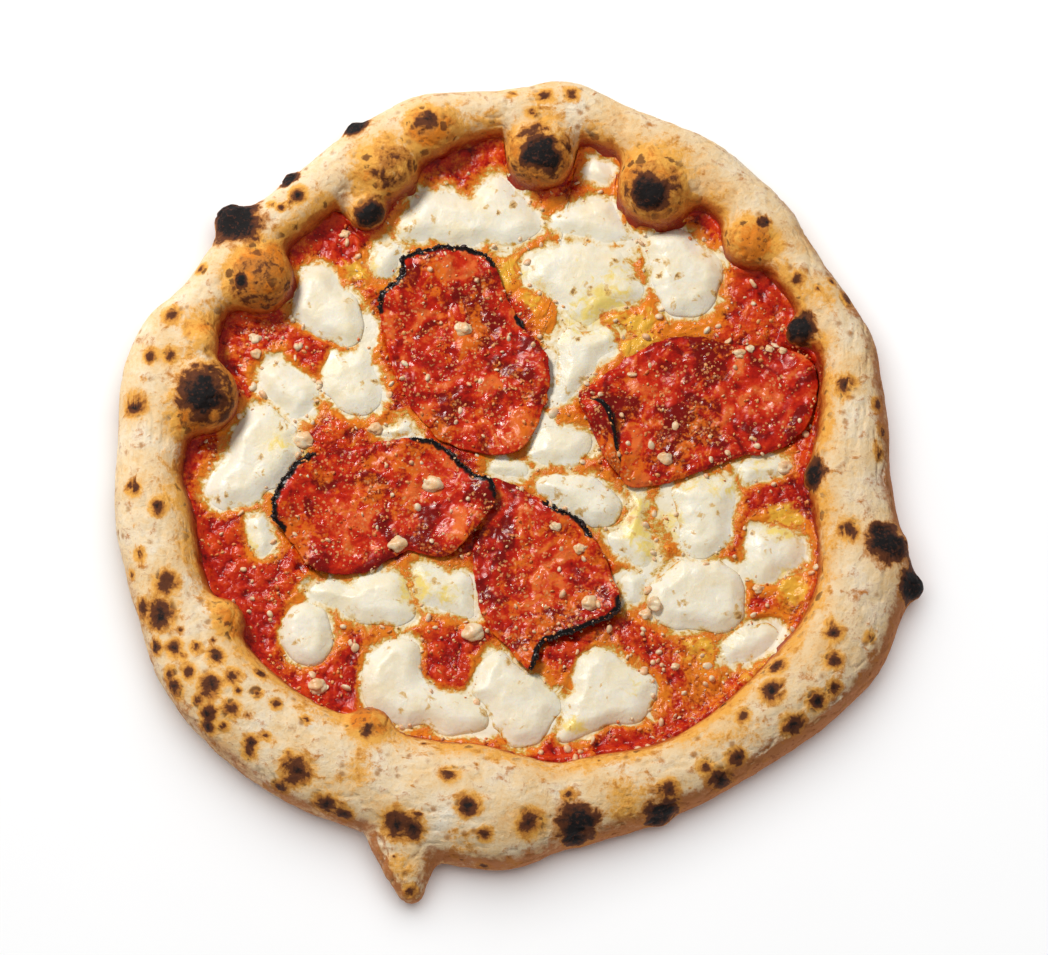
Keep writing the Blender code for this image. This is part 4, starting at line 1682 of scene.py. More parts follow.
    def with_flap(self, mesh: bpy.types.Mesh, terrain: Terrain, noise: LatticeNoise) -> bpy.types.Mesh:
        """Adds the curled edge to a slice's mesh.

        Args:
            mesh: the slice.
            terrain: takes the flap's burned edge.
            noise: roughens the curl.

        Returns:
            The joined mesh.
        """
        along = np.linspace(0, 1, self.flap_columns)
        across = np.linspace(0, 1, self.flap_rows)
        fold, edge = open_curve(FLAP_FOLD, along), open_curve(FLAP_EDGE, along)
        points = fold[:, None] + across[None, :, None] * (edge - fold)[:, None]
        arch = np.sin(math.pi * along)[:, None] ** 0.5 * np.sin(math.pi * across)[None]
        points[:, :, 2] += self.flap_arch * arch
        points[:, :, 0] -= 1.2 * arch * (1 - across)
        points = points.reshape(-1, 3)
        points[:, 2] += 0.35 * noise.layered(flat(points), 4, 3)
        index = np.arange(len(points)).reshape(self.flap_columns, self.flap_rows)
        quads = (index[:-1, :-1], index[1:, :-1], index[1:, 1:], index[:-1, 1:])
        burn = np.tile(np.clip((across - 0.74) * 7, 0, 1), self.flap_columns)
        facts = {"relief": np.full(len(points), 0.5), "burn": burn}
        sheet = make_mesh("flap", points, np.stack(quads, axis=-1).reshape(-1, 4).tolist(), facts)
        flap = hold("flap", sheet)
        thick = flap.modifiers.new("thick", "SOLIDIFY")
        thick.thickness = self.flap_thickness * MM
        thick.offset = 0.0
        settle(flap)
        terrain.burned.append(points[index[:, -1]])
        closed(opened(mesh, flap.data), mesh)
        bpy.data.objects.remove(flap)
        mesh.shade_smooth()
        return mesh


def open_curve(points: Table, shares: np.ndarray) -> np.ndarray:
    """Places along a smooth open curve through points.

    Args:
        points: the curve's own points.
        shares: how far along, from 0 to 1.

    Returns:
        One place for each share.
    """
    table = np.array(points, dtype=float)
    padded = np.vstack((2 * table[0] - table[1], table, 2 * table[-1] - table[-2]))
    place = np.clip(shares, 0, 1 - 1e-9) * (len(table) - 1)
    index = place.astype(int)
    return cubic((padded[index + step] for step in range(4)), (place - index)[:, None])


# The pieces of cheese: middle x, y and thickness, then the dollops that melted together (x, y, radius)
MOZZARELLA = (
    (
        (-20, 103, 2.8),
        ((-7, 110, 12), (-6, 101, 10), (-21, 102, 11.5), (-32, 107, 10), (-41, 100, 8), (3, 103, 8)),
    ),
    ((-53, 86, 2.4), ((-54, 86, 7), (-48, 92, 5))),
    ((30, 101, 2.2), ((20, 103, 8), (33, 103, 10), (44, 99, 7))),
    ((22, 78, 2.6), ((14, 82, 12), (30, 84, 13), (40, 76, 10), (26, 70, 10))),
    ((27, 50, 2.4), ((24, 53, 10), (33, 55, 8), (22, 42, 8), (19, 34, 6))),
    ((14, 11, 2.6), ((10, 12, 9), (20, 11, 8), (24, 15, 5))),
    ((23, -11, 3.4), ((14, -7, 9), (27, -10, 10), (33, -14, 8))),
    ((-5, 2, 1.8), ((-8, 4, 5), (0, 2, 5))),
    ((64, 81, 3.6), ((62, 88, 11.5), (66, 76, 13), (71, 84, 9), (56, 93, 6))),
    ((31, 122.5, 2.0), ((30.5, 123.5, 5), (33.5, 120.5, 4))),
    ((-76, 68, 3.2), ((-78, 76, 9.5), (-71, 65, 11), (-81, 68, 8), (-67, 57, 7))),
    ((-90, 34, 2.6), ((-94, 38, 8.5), (-86, 33, 9), (-87, 28, 6))),
    ((-64, 38, 3.0), ((-66, 46, 10), (-62, 34, 10), (-69, 38, 8))),
    ((-104, 6, 3.2), ((-108, -2, 12), (-99, 14, 13), (-92, 4, 10), (-115, -6, 8), (-96, 22, 8))),
    ((-47, 18.5, 1.6), ((-52, 17.5, 4.5), (-44, 19, 4.5))),
    ((-100, -24, 2.0), ((-101, -20, 6), (-99, -28, 6))),
    ((-62, -48, 3.0), ((-75, -47, 7), (-60, -50, 10), (-48, -54, 9), (-50, -46, 8))),
    ((-30, -46, 2.2), ((-36, -45, 10), (-24, -47, 9), (-20, -54, 6))),
    ((-82, -63.5, 3.6), ((-82.5, -60.5, 9.8), (-81, -67.5, 9.2))),
    (
        (-42, -89, 3.4),
        ((-50, -77, 10), (-45, -74, 8.5), (-53, -87, 8), (-42, -91, 11), (-27, -96, 10), (-18, -97, 8)),
    ),
    ((-2, -90, 3.4), ((-7, -80, 10), (1, -88, 11), (2, -99, 11), (-11, -91, 8), (10, -92, 7))),
    ((34, -88, 3.4), ((24, -96, 9), (34, -88, 12), (46, -86, 9), (31, -77, 9), (44, -95, 6), (19, -104, 5))),
    ((46, -22, 2.4), ((46, -12, 8), (44, -24, 9), (48, -32, 7))),
    ((72, -12, 2.8), ((66, -6, 8), (78, -8, 9), (72, -17, 10), (70, -27, 8), (78, -24, 7))),
    ((70, -50, 3.6), ((63, -50, 13), (76, -50, 13), (72, -44, 12), (80, -56, 7))),
    ((99, -31, 2.8), ((94, -28, 8), (103, -26, 8), (97, -37, 8), (106, -34, 6))),
    ((94, 1, 2.2), ((90, 1, 6), (98, 3, 6))),
    ((89, -68, 2.4), ((86, -67, 8), (95, -66, 7), (83, -72, 5))),
    ((45, -46, 2.0), ((42, -46, 6), (48, -44, 6))),
)
# How far a pool of oil thins the cheese's edge, in millimetres
OIL_THINNING = 2.2
# Where oil pools yellow on the cheese and the sauce: x, y, half width, half length and strength
YELLOW_POOLS = (
    (34, 68, 9, 9, 0.9), (46, 57, 8, 8, 1.1), (40, 78, 6, 6, 0.5), (24, 62, 7, 7, 0.6),
    (-40, -46, 6, 6, 1.0), (47, -18, 6, 9, 1.1), (52, -28, 6, 6, 0.8), (22, -101, 5, 3, 0.9),
    (-93, 12, 4, 5, 0.6), (66, -2, 6, 5, 0.5), (80, -4, 7, 5, 0.5), (-28, -48, 5, 5, 0.6),
    (102, -17, 8, 8, 1.1), (-62, 84, 6, 6, 0.8), (94, 4, 5, 5, 0.5), (46, -84, 5, 5, 0.4),
    (-4, 82, 7, 6, 0.8), (58, -20, 6, 6, 0.8), (6, 72, 6, 6, 0.6), (72, -70, 8, 6, 0.6),
    (106, -46, 6, 8, 0.8), (-106, -28, 5, 5, 0.6), (86, -80, 8, 5, 0.5),
)


@dataclass
class Mozzarella:
    """The torn pieces of cheese, each melted out to what stopped it."""

    melt: float = 5.0
    side_gap: float = 0.5
    dough_gap: float = 0.4
    step: float = 0.2
    spacing: float = 0.75
    fewest: int = 14
    foot: float = 4.4
    sink: float = 0.5
    edge_wobble: float = 3.4
    unevenness: float = 0.4
    grain: float = 0.16
    flush: float = 2.7
    proud: float = 4.3
    furthest: float = 3.2
    seed: int = 100

    def build(self, terrain: Terrain, crust: Crust) -> list[bpy.types.Object]:
        """Makes every piece.

        Args:
            terrain: knows the slices, and takes the cheese.
            crust: the dough that stops it.

        Returns:
            The pieces.
        """
        finish = MozzarellaFinish().build()
        pieces = []
        for number, ((x, y, thickness), dollops) in enumerate(MOZZARELLA, start=1):
            noise = LatticeNoise(self.seed + number)
            middle = np.array((x, y), dtype=float)
            outline = self.outline(middle, dollops, terrain, crust, noise)
            mesh = self.dome(f"cheese_{number:02d}", middle, outline, thickness, noise)
            terrain.cheeses.append(outline)
            terrain.meshes.append(mesh)
            pieces.append(add_piece(mesh.name, mesh, finish, (f"mozzarella_{number:02d}",)))
        return pieces

    def outline(
        self, middle: np.ndarray, dollops: Table, terrain: Terrain, crust: Crust, noise: LatticeNoise
    ) -> np.ndarray:
        """The outline that a piece melts out to.

        Args:
            middle: where it spreads from.
            dollops: its dollops.
            terrain: the slices and pieces that it may not cross.
            crust: the dough that it may not cross.
            noise: makes the edge uneven.

        Returns:
            The outline's corners, counter-clockwise.
        """
        size = sum(radius for _, _, radius in dollops) / math.sqrt(len(dollops))
        count = int(math.tau * size / self.spacing)
        turns = math.tau * np.arange(count) / count
        steps = np.arange(self.step, self.furthest * size, self.step)
        ways = np.column_stack((np.cos(turns), np.sin(turns)))
        points = (middle + steps[None, :, None] * ways[:, None]).reshape(-1, 2)
        balls = [np.hypot(points[:, 0] - x, points[:, 1] - y) - radius for x, y, radius in dollops]
        away = softest(balls, self.melt)
        away += self.edge_wobble * noise.layered(flat(points), 11, 4, 0.62)
        around = np.arctan2(points[:, 1], points[:, 0])
        blocked = away > 0
        blocked |= np.hypot(points[:, 0], points[:, 1]) > crust.inner_reach(around) - self.dough_gap
        free = np.flatnonzero(~blocked)
        blocked[free] = nearest_outline(points[free], terrain.slices + terrain.cheeses, 2.0) < self.side_gap
        blocked = blocked.reshape(len(turns), len(steps))
        blocked[:, -1] = True
        reach = steps[np.argmax(blocked, axis=1)]
        least = np.min([np.roll(reach, step) for step in range(-2, 3)], axis=0)
        reach = np.mean([np.roll(least, step) for step in range(-2, 3)], axis=0)
        return middle + reach[:, None] * ways

    def dome(
        self, name: str, middle: np.ndarray, outline: np.ndarray, thickness: float, noise: LatticeNoise
    ) -> bpy.types.Mesh:
        """The piece's mesh: a low uneven dome that sinks into the sauce at its foot.

        Args:
            name: the mesh's name.
            middle: where it spreads from.
            outline: how far it spread.
            thickness: how thick it is.
            noise: its unevenness.

        Returns:
            The mesh.
        """
        disc = Disc(max(self.fewest, int(2 * np.linalg.norm(outline - middle, axis=1).mean() / self.spacing)))
        plan = disc.spread(middle, outline)
        inside = np.maximum(-polygon_distance(plan, outline), 0)
        place = flat(plan)
        crisp = np.clip((thickness - self.flush) / (self.proud - self.flush), 0, 1)
        crisp = np.clip(crisp + 0.35 * noise.smooth(place + 70.0, 13), 0, 1)
        shoulder = crisp * (0.8 * thickness + 1.2) + (1 - crisp) * (2.2 * thickness + 2.0)
        edge = np.clip(inside / shoulder, 0, 1)
        rise = crisp * np.sqrt(np.clip(1 - (1 - edge) ** 2.2, 0, 1)) + (1 - crisp) * smoothstep(0, 1, edge)
        uneven = self.unevenness * noise.layered(place, 10, 2) + self.grain * noise.layered(place, 3.6, 3)
        full = thickness * (0.75 + 0.25 * crisp) + self.sink - 0.3
        height = TOPPING_BOTTOM - self.sink + full * rise + edge * uneven
        foot = flat(middle + FOOT_SHARE * (plan[disc.rim] - middle), self.foot)
        yellow = round_pools(plan, YELLOW_POOLS)
        shore = OIL_THINNING * yellow - inside * (1 + crisp) - 1.2 * crisp
        facts = {
            "shore": np.concatenate((shore, np.ones(len(foot)))),
            "yellow": np.concatenate((yellow, np.zeros(len(foot)))),
        }
        return make_mesh(name, np.vstack((np.column_stack((plan, height)), foot)), disc.capped_faces(), facts)


# -------------------------------------------------------------------------------------------- sauce


# Orange oil on the sauce, open red sauce, and milky films: x, y, half width, half length and strength
ORANGE_POOLS = (
    (-2, 82, 7, 7, 0.8), (16, 62, 8, 8, 0.8), (61, 62, 12, 9, 0.8), (51, 76, 5, 5, 0.9),
    (100, -46, 10, 10, 0.5), (69, -81, 12, 10, 0.45), (-101, -30, 4, 4, 0.6), (102, -17, 7, 7, 0.7),
)
RED_POOLS = (
    (93, 80, 8, 8, 1), (-79, 51, 8, 8, 1), (-69, 96, 7, 7, 1), (-111, -32, 14, 14, 1),
    (-98, -62, 11, 11, 1), (-74, -81, 10, 10, 1), (-28, -76, 9, 9, 1), (24, -72, 8, 8, 1),
    (15, -111, 6, 6, 1), (40, -107, 7, 7, 1), (56, -82, 7, 7, 1), (99, -8, 9, 9, 1), (85, -25, 6, 6, 1),
    (93, -49, 7, 7, 1), (112, 40, 8, 8, 1),
)
MILKY_FILMS = (
    (8.6, 37, 5, 16, 1), (58.5, -15, 3.5, 8.5, 1), (-57.3, 58, 3.5, 5, 0.9), (49.5, 57, 8.5, 3, 0.8),
    (40.6, -90, 8, 8, 0.5), (-2, 84, 9, 6, 0.5), (-40, 12, 5, 4, 0.6), (24, 62, 6, 4, 0.5),
    (-22, -46, 8, 6, 0.4), (60, -38, 8, 5, 0.4), (50, 92, 6, 5, 0.4), (-13, -93, 6, 10, 1.0),
    (11, -98, 3, 6, 0.7), (-52, 64, 4, 5, 0.6), (82, -40, 6, 5, 0.6), (98, -62, 7, 6, 0.5),
)


@dataclass
class SauceBed:
    """The bed of cooked tomato: pulpy in the open, level under the toppings, drawn up against the dough."""

    grid: int = 430
    faces: int = 185_000
    open_level: float = 4.95
    under_level: float = 5.15
    bottom: float = 3.8
    tuck: float = 3.0
    pulp: float = 1.2
    pulp_width: float = 5.8
    ridge: float = 0.7
    grain: float = 0.1
    climb: float = 1.7
    film_reach: float = 7.0
    oiliness: float = 0.42
    seed: int = 21

    def build(self, terrain: Terrain, crust: Crust) -> bpy.types.Object:
        """Makes the bed.

        Args:
            terrain: the toppings that lie on it; takes its mesh.
            crust: the dough that holds it.

        Returns:
            The piece.
        """
        noise = LatticeNoise(self.seed)
        disc = Disc(self.grid)
        turns = math.tau * (np.arange(crust.reach_spokes) / crust.reach_spokes)
        reach = crust.inner_reach(turns) + self.tuck
        outline = reach[:, None] * np.column_stack((np.cos(turns), np.sin(turns)))
        plan = disc.spread(np.zeros(2), outline)
        place = flat(plan)
        to_slice = terrain.slice_map.at(plan)
        to_cheese = terrain.cheese_map.at(plan)
        to_dough = crust.inner_reach(np.arctan2(plan[:, 1], plan[:, 0]))
        to_dough -= np.hypot(plan[:, 0], plan[:, 1])
        bare = smoothstep(-0.5, 2.5, np.minimum(to_slice, to_cheese))
        red = round_pools(plan, RED_POOLS)
        yellow = round_pools(plan, YELLOW_POOLS)
        shore = to_cheese * (1 + 1.4 * red) + 1.5 * red + OIL_THINNING * yellow
        shore -= self.film_reach * round_pools(plan, MILKY_FILMS)
        pulp = self.lumps(noise, place) * smoothstep(0.0, 4.5, shore)
        height = self.under_level + bare * (self.open_level - self.under_level + pulp)
        height += self.climb * smoothstep(4.5, 0.0, to_dough) ** 2 * (bare + 0.2)
        near_cheese = np.clip(1.15 - to_cheese / (5.6 + 4.2 * noise.layered(place + 5.0, 12, 2)), 0, 1)
        orange = 0.7 * near_cheese + round_pools(plan, ORANGE_POOLS) + self.oiliness - 0.5 * red
        facts = {
            "pulp": np.clip(pulp / self.pulp, 0, 1),
            "orange": np.clip(orange, 0, 1.3),
            "gold": np.clip(yellow - 0.5 * red, 0, 1.3),
            "yellow": yellow,
            "shore": shore,
        }
        foot = flat(FOOT_SHARE * plan[disc.rim], self.bottom)
        points = np.vstack((np.column_stack((plan, height)), foot))
        facts = {fact: np.concatenate((values, np.zeros(len(foot)))) for fact, values in facts.items()}
        mesh = thinned(make_mesh("sauce", points, disc.capped_faces(), facts), self.faces)
        terrain.meshes.append(mesh)
        return add_piece("sauce", mesh, SauceFinish().build(), ("tomato_sauce",))

    def lumps(self, noise: LatticeNoise, place: np.ndarray) -> np.ndarray:
        """The pulp's own relief, from 0 up.

        Args:
            noise: where the lumps are.
            place: N by 3 places.

        Returns:
            One height for each place.
        """
        warp = warped(noise, place, 4, 1.3, (3.0, 43.0, 83.0))
        nearest, value = noise.cells(warp, self.pulp_width)
        lump = np.sqrt(np.clip(1 - (nearest / 0.72) ** 2, 0, 1)) * (0.25 + 0.75 * value)
        ridge = 1 - 2 * np.abs(noise.layered(place + 60.0, 7, 3))
        grain = noise.layered(place, 1.5, 2)
        return np.maximum(self.pulp * lump + self.ridge * ridge + self.grain * grain - 0.2, 0)


def thinned(mesh: bpy.types.Mesh, faces: int) -> bpy.types.Mesh:
    """The same shape in fewer triangles, taken from where it is nearly flat.

    Args:
        mesh: the mesh.
        faces: how many triangles stay.

    Returns:
        The thinned mesh.
    """
    piece = hold("thinned", mesh)
    fewer = piece.modifiers.new("fewer", "DECIMATE")
    mesh.calc_loop_triangles()
    fewer.ratio = faces / len(mesh.loop_triangles)
    thin = settle(piece)
    bpy.data.objects.remove(piece)
    thin.shade_smooth()
    return thin


# ------------------------------------------------------------------------------------------- crumbs


class Tree:
    """A Geometry Nodes tree under construction."""

    def __init__(self, name: str, **inputs: str) -> None:
        """Starts a tree with a geometry input and output.

        Args:
            name: the tree's name.
            inputs: the kind of each further input socket under its name.
        """
        self.tree = bpy.data.node_groups.new(name, "GeometryNodeTree")
        self.tree.interface.new_socket("Geometry", in_out="INPUT", socket_type="NodeSocketGeometry")
        for label, kind in inputs.items():
            self.tree.interface.new_socket(label, in_out="INPUT", socket_type=kind)
        self.tree.interface.new_socket("Geometry", in_out="OUTPUT", socket_type="NodeSocketGeometry")
        self.given = self.tree.nodes.new("NodeGroupInput").outputs
        self.result = self.tree.nodes.new("NodeGroupOutput").inputs[0]

    def add(self, kind: str, settings: dict[str, object] | None = None, **inputs: object) -> bpy.types.Node:
        """Adds a node.

        Args:
            kind: its type.
            settings: its own properties.
            inputs: values or sockets for its inputs.

        Returns:
            The node.
        """
        node = self.tree.nodes.new(kind)
        for name, value in (settings or {}).items():
            setattr(node, name, value)
        for name, value in inputs.items():
            plug(next(one for one in node.inputs if one.name == name and one.enabled), value)
        return node

    def math(self, operation: str, first: object, second: object) -> Socket:
        """One step of arithmetic."""
        return arithmetic(self.tree.nodes, operation, first, second)

    def scaled(self, vector: Socket, scale: Socket) -> Socket:
        """A vector made longer or shorter.

        Args:
            vector: the vector.
            scale: by how much.

        Returns:
            The new vector.
        """
        node = self.add("ShaderNodeVectorMath", {"operation": "SCALE"}, Scale=scale)
        plug(node.inputs[0], vector)
        return node.outputs[0]

    def grow(self, carrier: bpy.types.Object, **inputs: object) -> bpy.types.Mesh:
        """Runs the tree on an object, which is used up.

        Args:
            carrier: what the tree starts from.
            inputs: values for the tree's inputs.

        Returns:
            The mesh that the tree makes.
        """
        modifier = carrier.modifiers.new(self.tree.name, "NODES")
        modifier.node_group = self.tree
        for item in self.tree.interface.items_tree:
            if item.in_out == "INPUT" and item.name in inputs:
                modifier[item.identifier] = inputs[item.name]
        mesh = settle(carrier)
        bpy.data.objects.remove(carrier)
        return mesh


# How much rarer large grains are than small ones, a grain's least and greatest sizes, and its lumps a metre
RARITY = 3.0
SMALLEST_SHAPE = (0.55, 0.45, 0.35)
LARGEST_SHAPE = (1.5, 1.2, 0.8)
LUMPS = 1100.0


def crumb_tree(name: str, along_lines: bool) -> Tree:
    """A tree that sets rough grains on a surface or along lines.

    Args:
        name: the tree's name.
        along_lines: whether the carrier's edges carry the grains; otherwise its faces do, by their fact
            `sprinkle`.

    Returns:
        The tree.
    """
    sizes = {label: "NodeSocketFloat" for label in ("Density", "Smallest", "Largest", "Roughness")}
    made = Tree(name, **sizes, Fineness="NodeSocketInt", Seed="NodeSocketInt", Material="NodeSocketMaterial")
    given, seed = made.given, made.given["Seed"]
    if along_lines:
        curve = made.add("GeometryNodeMeshToCurve", Mesh=given["Geometry"]).outputs[0]
        apart = made.math("DIVIDE", 1.0, given["Density"])
        spread = made.add("GeometryNodeResampleCurve", {"mode": "LENGTH"}, Curve=curve, Length=apart)
        points = spread.outputs[0]
    else:
        share = made.add("GeometryNodeInputNamedAttribute", {"data_type": "FLOAT"}, Name="sprinkle")
        dense = made.math("MULTIPLY", share.outputs[0], given["Density"])
        spread = made.add(
            "GeometryNodeDistributePointsOnFaces", Mesh=given["Geometry"], Density=dense, Seed=seed
        )
        points = spread.outputs["Points"]
    vector = {"data_type": "FLOAT_VECTOR"}
    turn = made.add("FunctionNodeRandomValue", vector, Max=(math.tau,) * 3, Seed=seed).outputs[0]
    chance = made.add("FunctionNodeRandomValue", Seed=seed)
    rare = made.math("POWER", next(one for one in chance.outputs if one.enabled), RARITY)
    size = made.add("ShaderNodeMapRange", {"clamp": False}, Value=rare)
    plug(size.inputs["To Min"], given["Smallest"])
    plug(size.inputs["To Max"], given["Largest"])
    shape = made.add("FunctionNodeRandomValue", vector, Min=SMALLEST_SHAPE, Max=LARGEST_SHAPE, Seed=seed)
    scale = made.scaled(shape.outputs[0], size.outputs[0])
    grain = made.add("GeometryNodeMeshIcoSphere", Radius=1.0, Subdivisions=given["Fineness"]).outputs[0]
    set_out = made.add(
        "GeometryNodeInstanceOnPoints", Points=points, Instance=grain, Rotation=turn, Scale=scale
    ).outputs[0]
    real = made.add("GeometryNodeRealizeInstances", Geometry=set_out).outputs[0]
    rough = made.add("ShaderNodeTexNoise", Scale=LUMPS, Detail=2.0).outputs[0]
    depth = made.math("MULTIPLY", made.math("SUBTRACT", rough, 0.5), given["Roughness"])
    shift = made.scaled(made.add("GeometryNodeInputNormal").outputs[0], depth)
    lumpy = made.add("GeometryNodeSetPosition", Geometry=real, Offset=shift).outputs[0]
    soft = made.add("GeometryNodeSetShadeSmooth", Geometry=lumpy).outputs[0]
    dressed = made.add("GeometryNodeSetMaterial", Geometry=soft, Material=given["Material"])
    plug(made.result, dressed.outputs[0])
    return made


# Bits of cheese big enough to tell apart: right and up in the picture's plane, and radius
BIG_BITS = (
    (86.6, 48.8, 2), (57.3, 7.8, 2.7), (104.1, 4.3, 2.7), (-78, -80.7, 3.5), (-17.6, -59.7, 3.9),
    (-33.1, -2, 3.5), (-46.8, -25.4, 3.5), (28.1, -48.4, 3.1), (-102.6, 54.6, 2.3), (-102.6, 48.8, 2),
    (-21.4, 58.5, 3.1), (-83.9, 14.8, 3.5), (-55.8, 19.5, 2.7), (53.4, -48.8, 3.1), (49.5, -52.6, 2.3),
    (14.4, -18.3, 2), (24.2, -27.3, 2.3), (-67.5, 95.5, 2), (90.5, 50.7, 1.6), (98.3, 50.7, 1.6),
    (103.4, 49.9, 1.6), (93.6, -42.9, 2), (61.2, -72.9, 1.6),
)


@dataclass(frozen=True)
class Grain:
    """One kind of loose grain: how many a square metre or metre, its sizes and how rough it is."""

    density: float
    smallest: float
    largest: float
    roughness: float
    fineness: int
    seed: int

    def grow(self, tree: Tree, carrier: bpy.types.Object, finish: bpy.types.Material) -> bpy.types.Mesh:
        """Sets the grains on what carries them.

        Args:
            tree: how they are set.
            carrier: what they lie on; it is used up.
            finish: their material.

        Returns:
            One mesh for all of them.
        """
        return tree.grow(
            carrier, Density=self.density, Smallest=self.smallest * MM, Largest=self.largest * MM,
            Roughness=self.roughness * MM, Fineness=self.fineness, Seed=self.seed, Material=finish,
        )


@dataclass(frozen=True)
class Gathering:
    """How grains gather: in how wide patches, where, and how many near the cheese and on the slices."""

    width: float
    seed: int
    near_cheese: float
    on_slices: float


@dataclass
class Crumbs:
    """Loose grains: cheese and fat over the sauce and slices, bigger bits of cheese, and charred edges."""

    cheese: Grain = Grain(105_000.0, 0.35, 1.8, 0.9, 2, 31)
    fat: Grain = Grain(480_000.0, 0.22, 1.1, 0.3, 1, 32)
    char: Grain = Grain(1_500.0, 0.35, 1.25, 0.9, 2, 33)
    beside_cheese: Gathering = Gathering(5.0, 41, 0.6, 0.4)
    on_meat: Gathering = Gathering(9.0, 42, 0.06, 0.6)
    steepest: float = 0.35
    lowest: float = 4.7
    outermost: float = 128.0
    fading: float = 8.0
    bit_shape: tuple[float, float, float] = (1.05, 0.9, 0.62)
    bit_rise: float = 0.12
    bit_seed: int = 200

    def build(self, terrain: Terrain) -> list[bpy.types.Object]:
        """Makes every kind of grain.

        Args:
            terrain: the surfaces and burned edges that carry them.

        Returns:
            The pieces.
        """
        sprinkled = crumb_tree("sprinkled_grains", along_lines=False)
        beaded = crumb_tree("grains_along_an_edge", along_lines=True)
        cheese = CrumbFinish("cheese_crumbs", (0.90, 0.72, 0.48), (0.84, 0.48, 0.24)).build()
        bits = CrumbFinish("cheese_bits", (0.88, 0.72, 0.48), (0.82, 0.50, 0.24)).build()
        fat = CrumbFinish("fat_crumbs", (0.88, 0.43, 0.15), (0.70, 0.14, 0.022), 0.3).build()
        coal = CrumbFinish("charred_edge", (0.008, 0.006, 0.005), (0.03, 0.007, 0.004), 0.5).build()
        cheese_mesh = self.cheese.grow(sprinkled, self.carrier(terrain, self.beside_cheese), cheese)
        fat_mesh = self.fat.grow(sprinkled, self.carrier(terrain, self.on_meat), fat)
        char_mesh = self.char.grow(beaded, self.edges(terrain), coal)
        return [
            add_piece("crumbs_of_cheese", cheese_mesh, cheese),
            add_piece("crumbs_of_fat", fat_mesh, fat),
            add_piece("charred_edges", char_mesh, coal),
            add_piece("bits_of_cheese", self.big_bits(terrain.surface()), bits),
        ]

    def carrier(self, terrain: Terrain, gathering: Gathering) -> bpy.types.Object:
        """A loose copy of every topping's surface that tells where grains lie.

        Args:
            terrain: the surfaces.
            gathering: how the grains gather.

        Returns:
            An object whose fact `sprinkle` runs from 0 to 1.
        """
        bm = opened(*terrain.meshes)
        low = [
            face for face in bm.faces
            if face.normal.z < self.steepest or face.calc_center_median().z < self.lowest * MM
        ]
        bmesh.ops.delete(bm, geom=low, context="FACES")
        mesh = closed(bm, bpy.data.meshes.new("carrier"))
        points = read_points(mesh)
        on_slice = terrain.slice_map.at(points[:, :2])
        on_cheese = terrain.cheese_map.at(points[:, :2])
        patches = LatticeNoise(gathering.seed).layered(flat(points), gathering.width, 3)
        share = 0.12 + 0.88 * smoothstep(-0.15, 0.5, patches)
        share *= np.where(on_cheese < 0, smoothstep(-3.0, 0.0, on_cheese), 1.0)
        near = np.where(on_cheese < 3.0, gathering.near_cheese, 0.8)
        share *= np.where(on_slice < 0, gathering.on_slices, near)
        out = np.hypot(points[:, 0], points[:, 1])
        share *= smoothstep(self.outermost, self.outermost - self.fading, out)
        covered = (on_slice < -0.4) & (points[:, 2] < TOPPING_BOTTOM + 0.1)
        store_fact(mesh, "sprinkle", np.where(covered, 0, share))
        return hold("carrier", mesh)

    def edges(self, terrain: Terrain) -> bpy.types.Object:
        """The burned edges as loose lines.

        Args:
            terrain: the edges' places.

        Returns:
            An object of edges.
        """
        mesh = bpy.data.meshes.new("burned_edges")
        points, lines = [], []
        for edge in terrain.burned:
            first = len(points)
            points.extend((edge * MM).tolist())
            lines.extend((first + step, first + step + 1) for step in range(len(edge) - 1))
        mesh.from_pydata(points, lines, [])
        return hold("burned_edges", mesh)

    def big_bits(self, tree: BVHTree) -> bpy.types.Mesh:
        """The bigger bits of cheese, each a melted lump.

        Args:
            tree: what they lie on.

        Returns:
            One mesh for all of them.
        """
        bm = bmesh.new()
        for number, (right, up, radius) in enumerate(BIG_BITS):
            place = dropped(tree, right, up)
            if place is None:
                continue
            ball = bmesh.ops.create_icosphere(bm, subdivisions=4, radius=1.0)["verts"]
            noise = LatticeNoise(self.bit_seed + number)
            points = np.array([vertex.co for vertex in ball])
            swell = 1 + 0.4 * noise.smooth(points, 0.9) + 0.05 * noise.layered(points * radius, 1.6, 2)
            points = points * swell[:, None] * radius * self.bit_shape
            for vertex, point in zip(ball, points + place + (0, 0, self.bit_rise * radius)):
                vertex.co = point * MM
        mesh = closed(bm, bpy.data.meshes.new("bits_of_cheese"))
        mesh.shade_smooth()
        return mesh


# -------------------------------------------------------------------------------------------- stage


class Lit(Enum):
    """What a light falls on."""

    PIZZA = "pizza"
    FLOOR = "floor"


@dataclass(frozen=True)
class Light:
    """A soft box aimed at the pizza: which way it stands, how high, far, wide and strong, and on what."""

    azimuth: float
    elevation: float
    distance: float
    width: float
    power: float
    colour: Colour
    falls_on: Lit


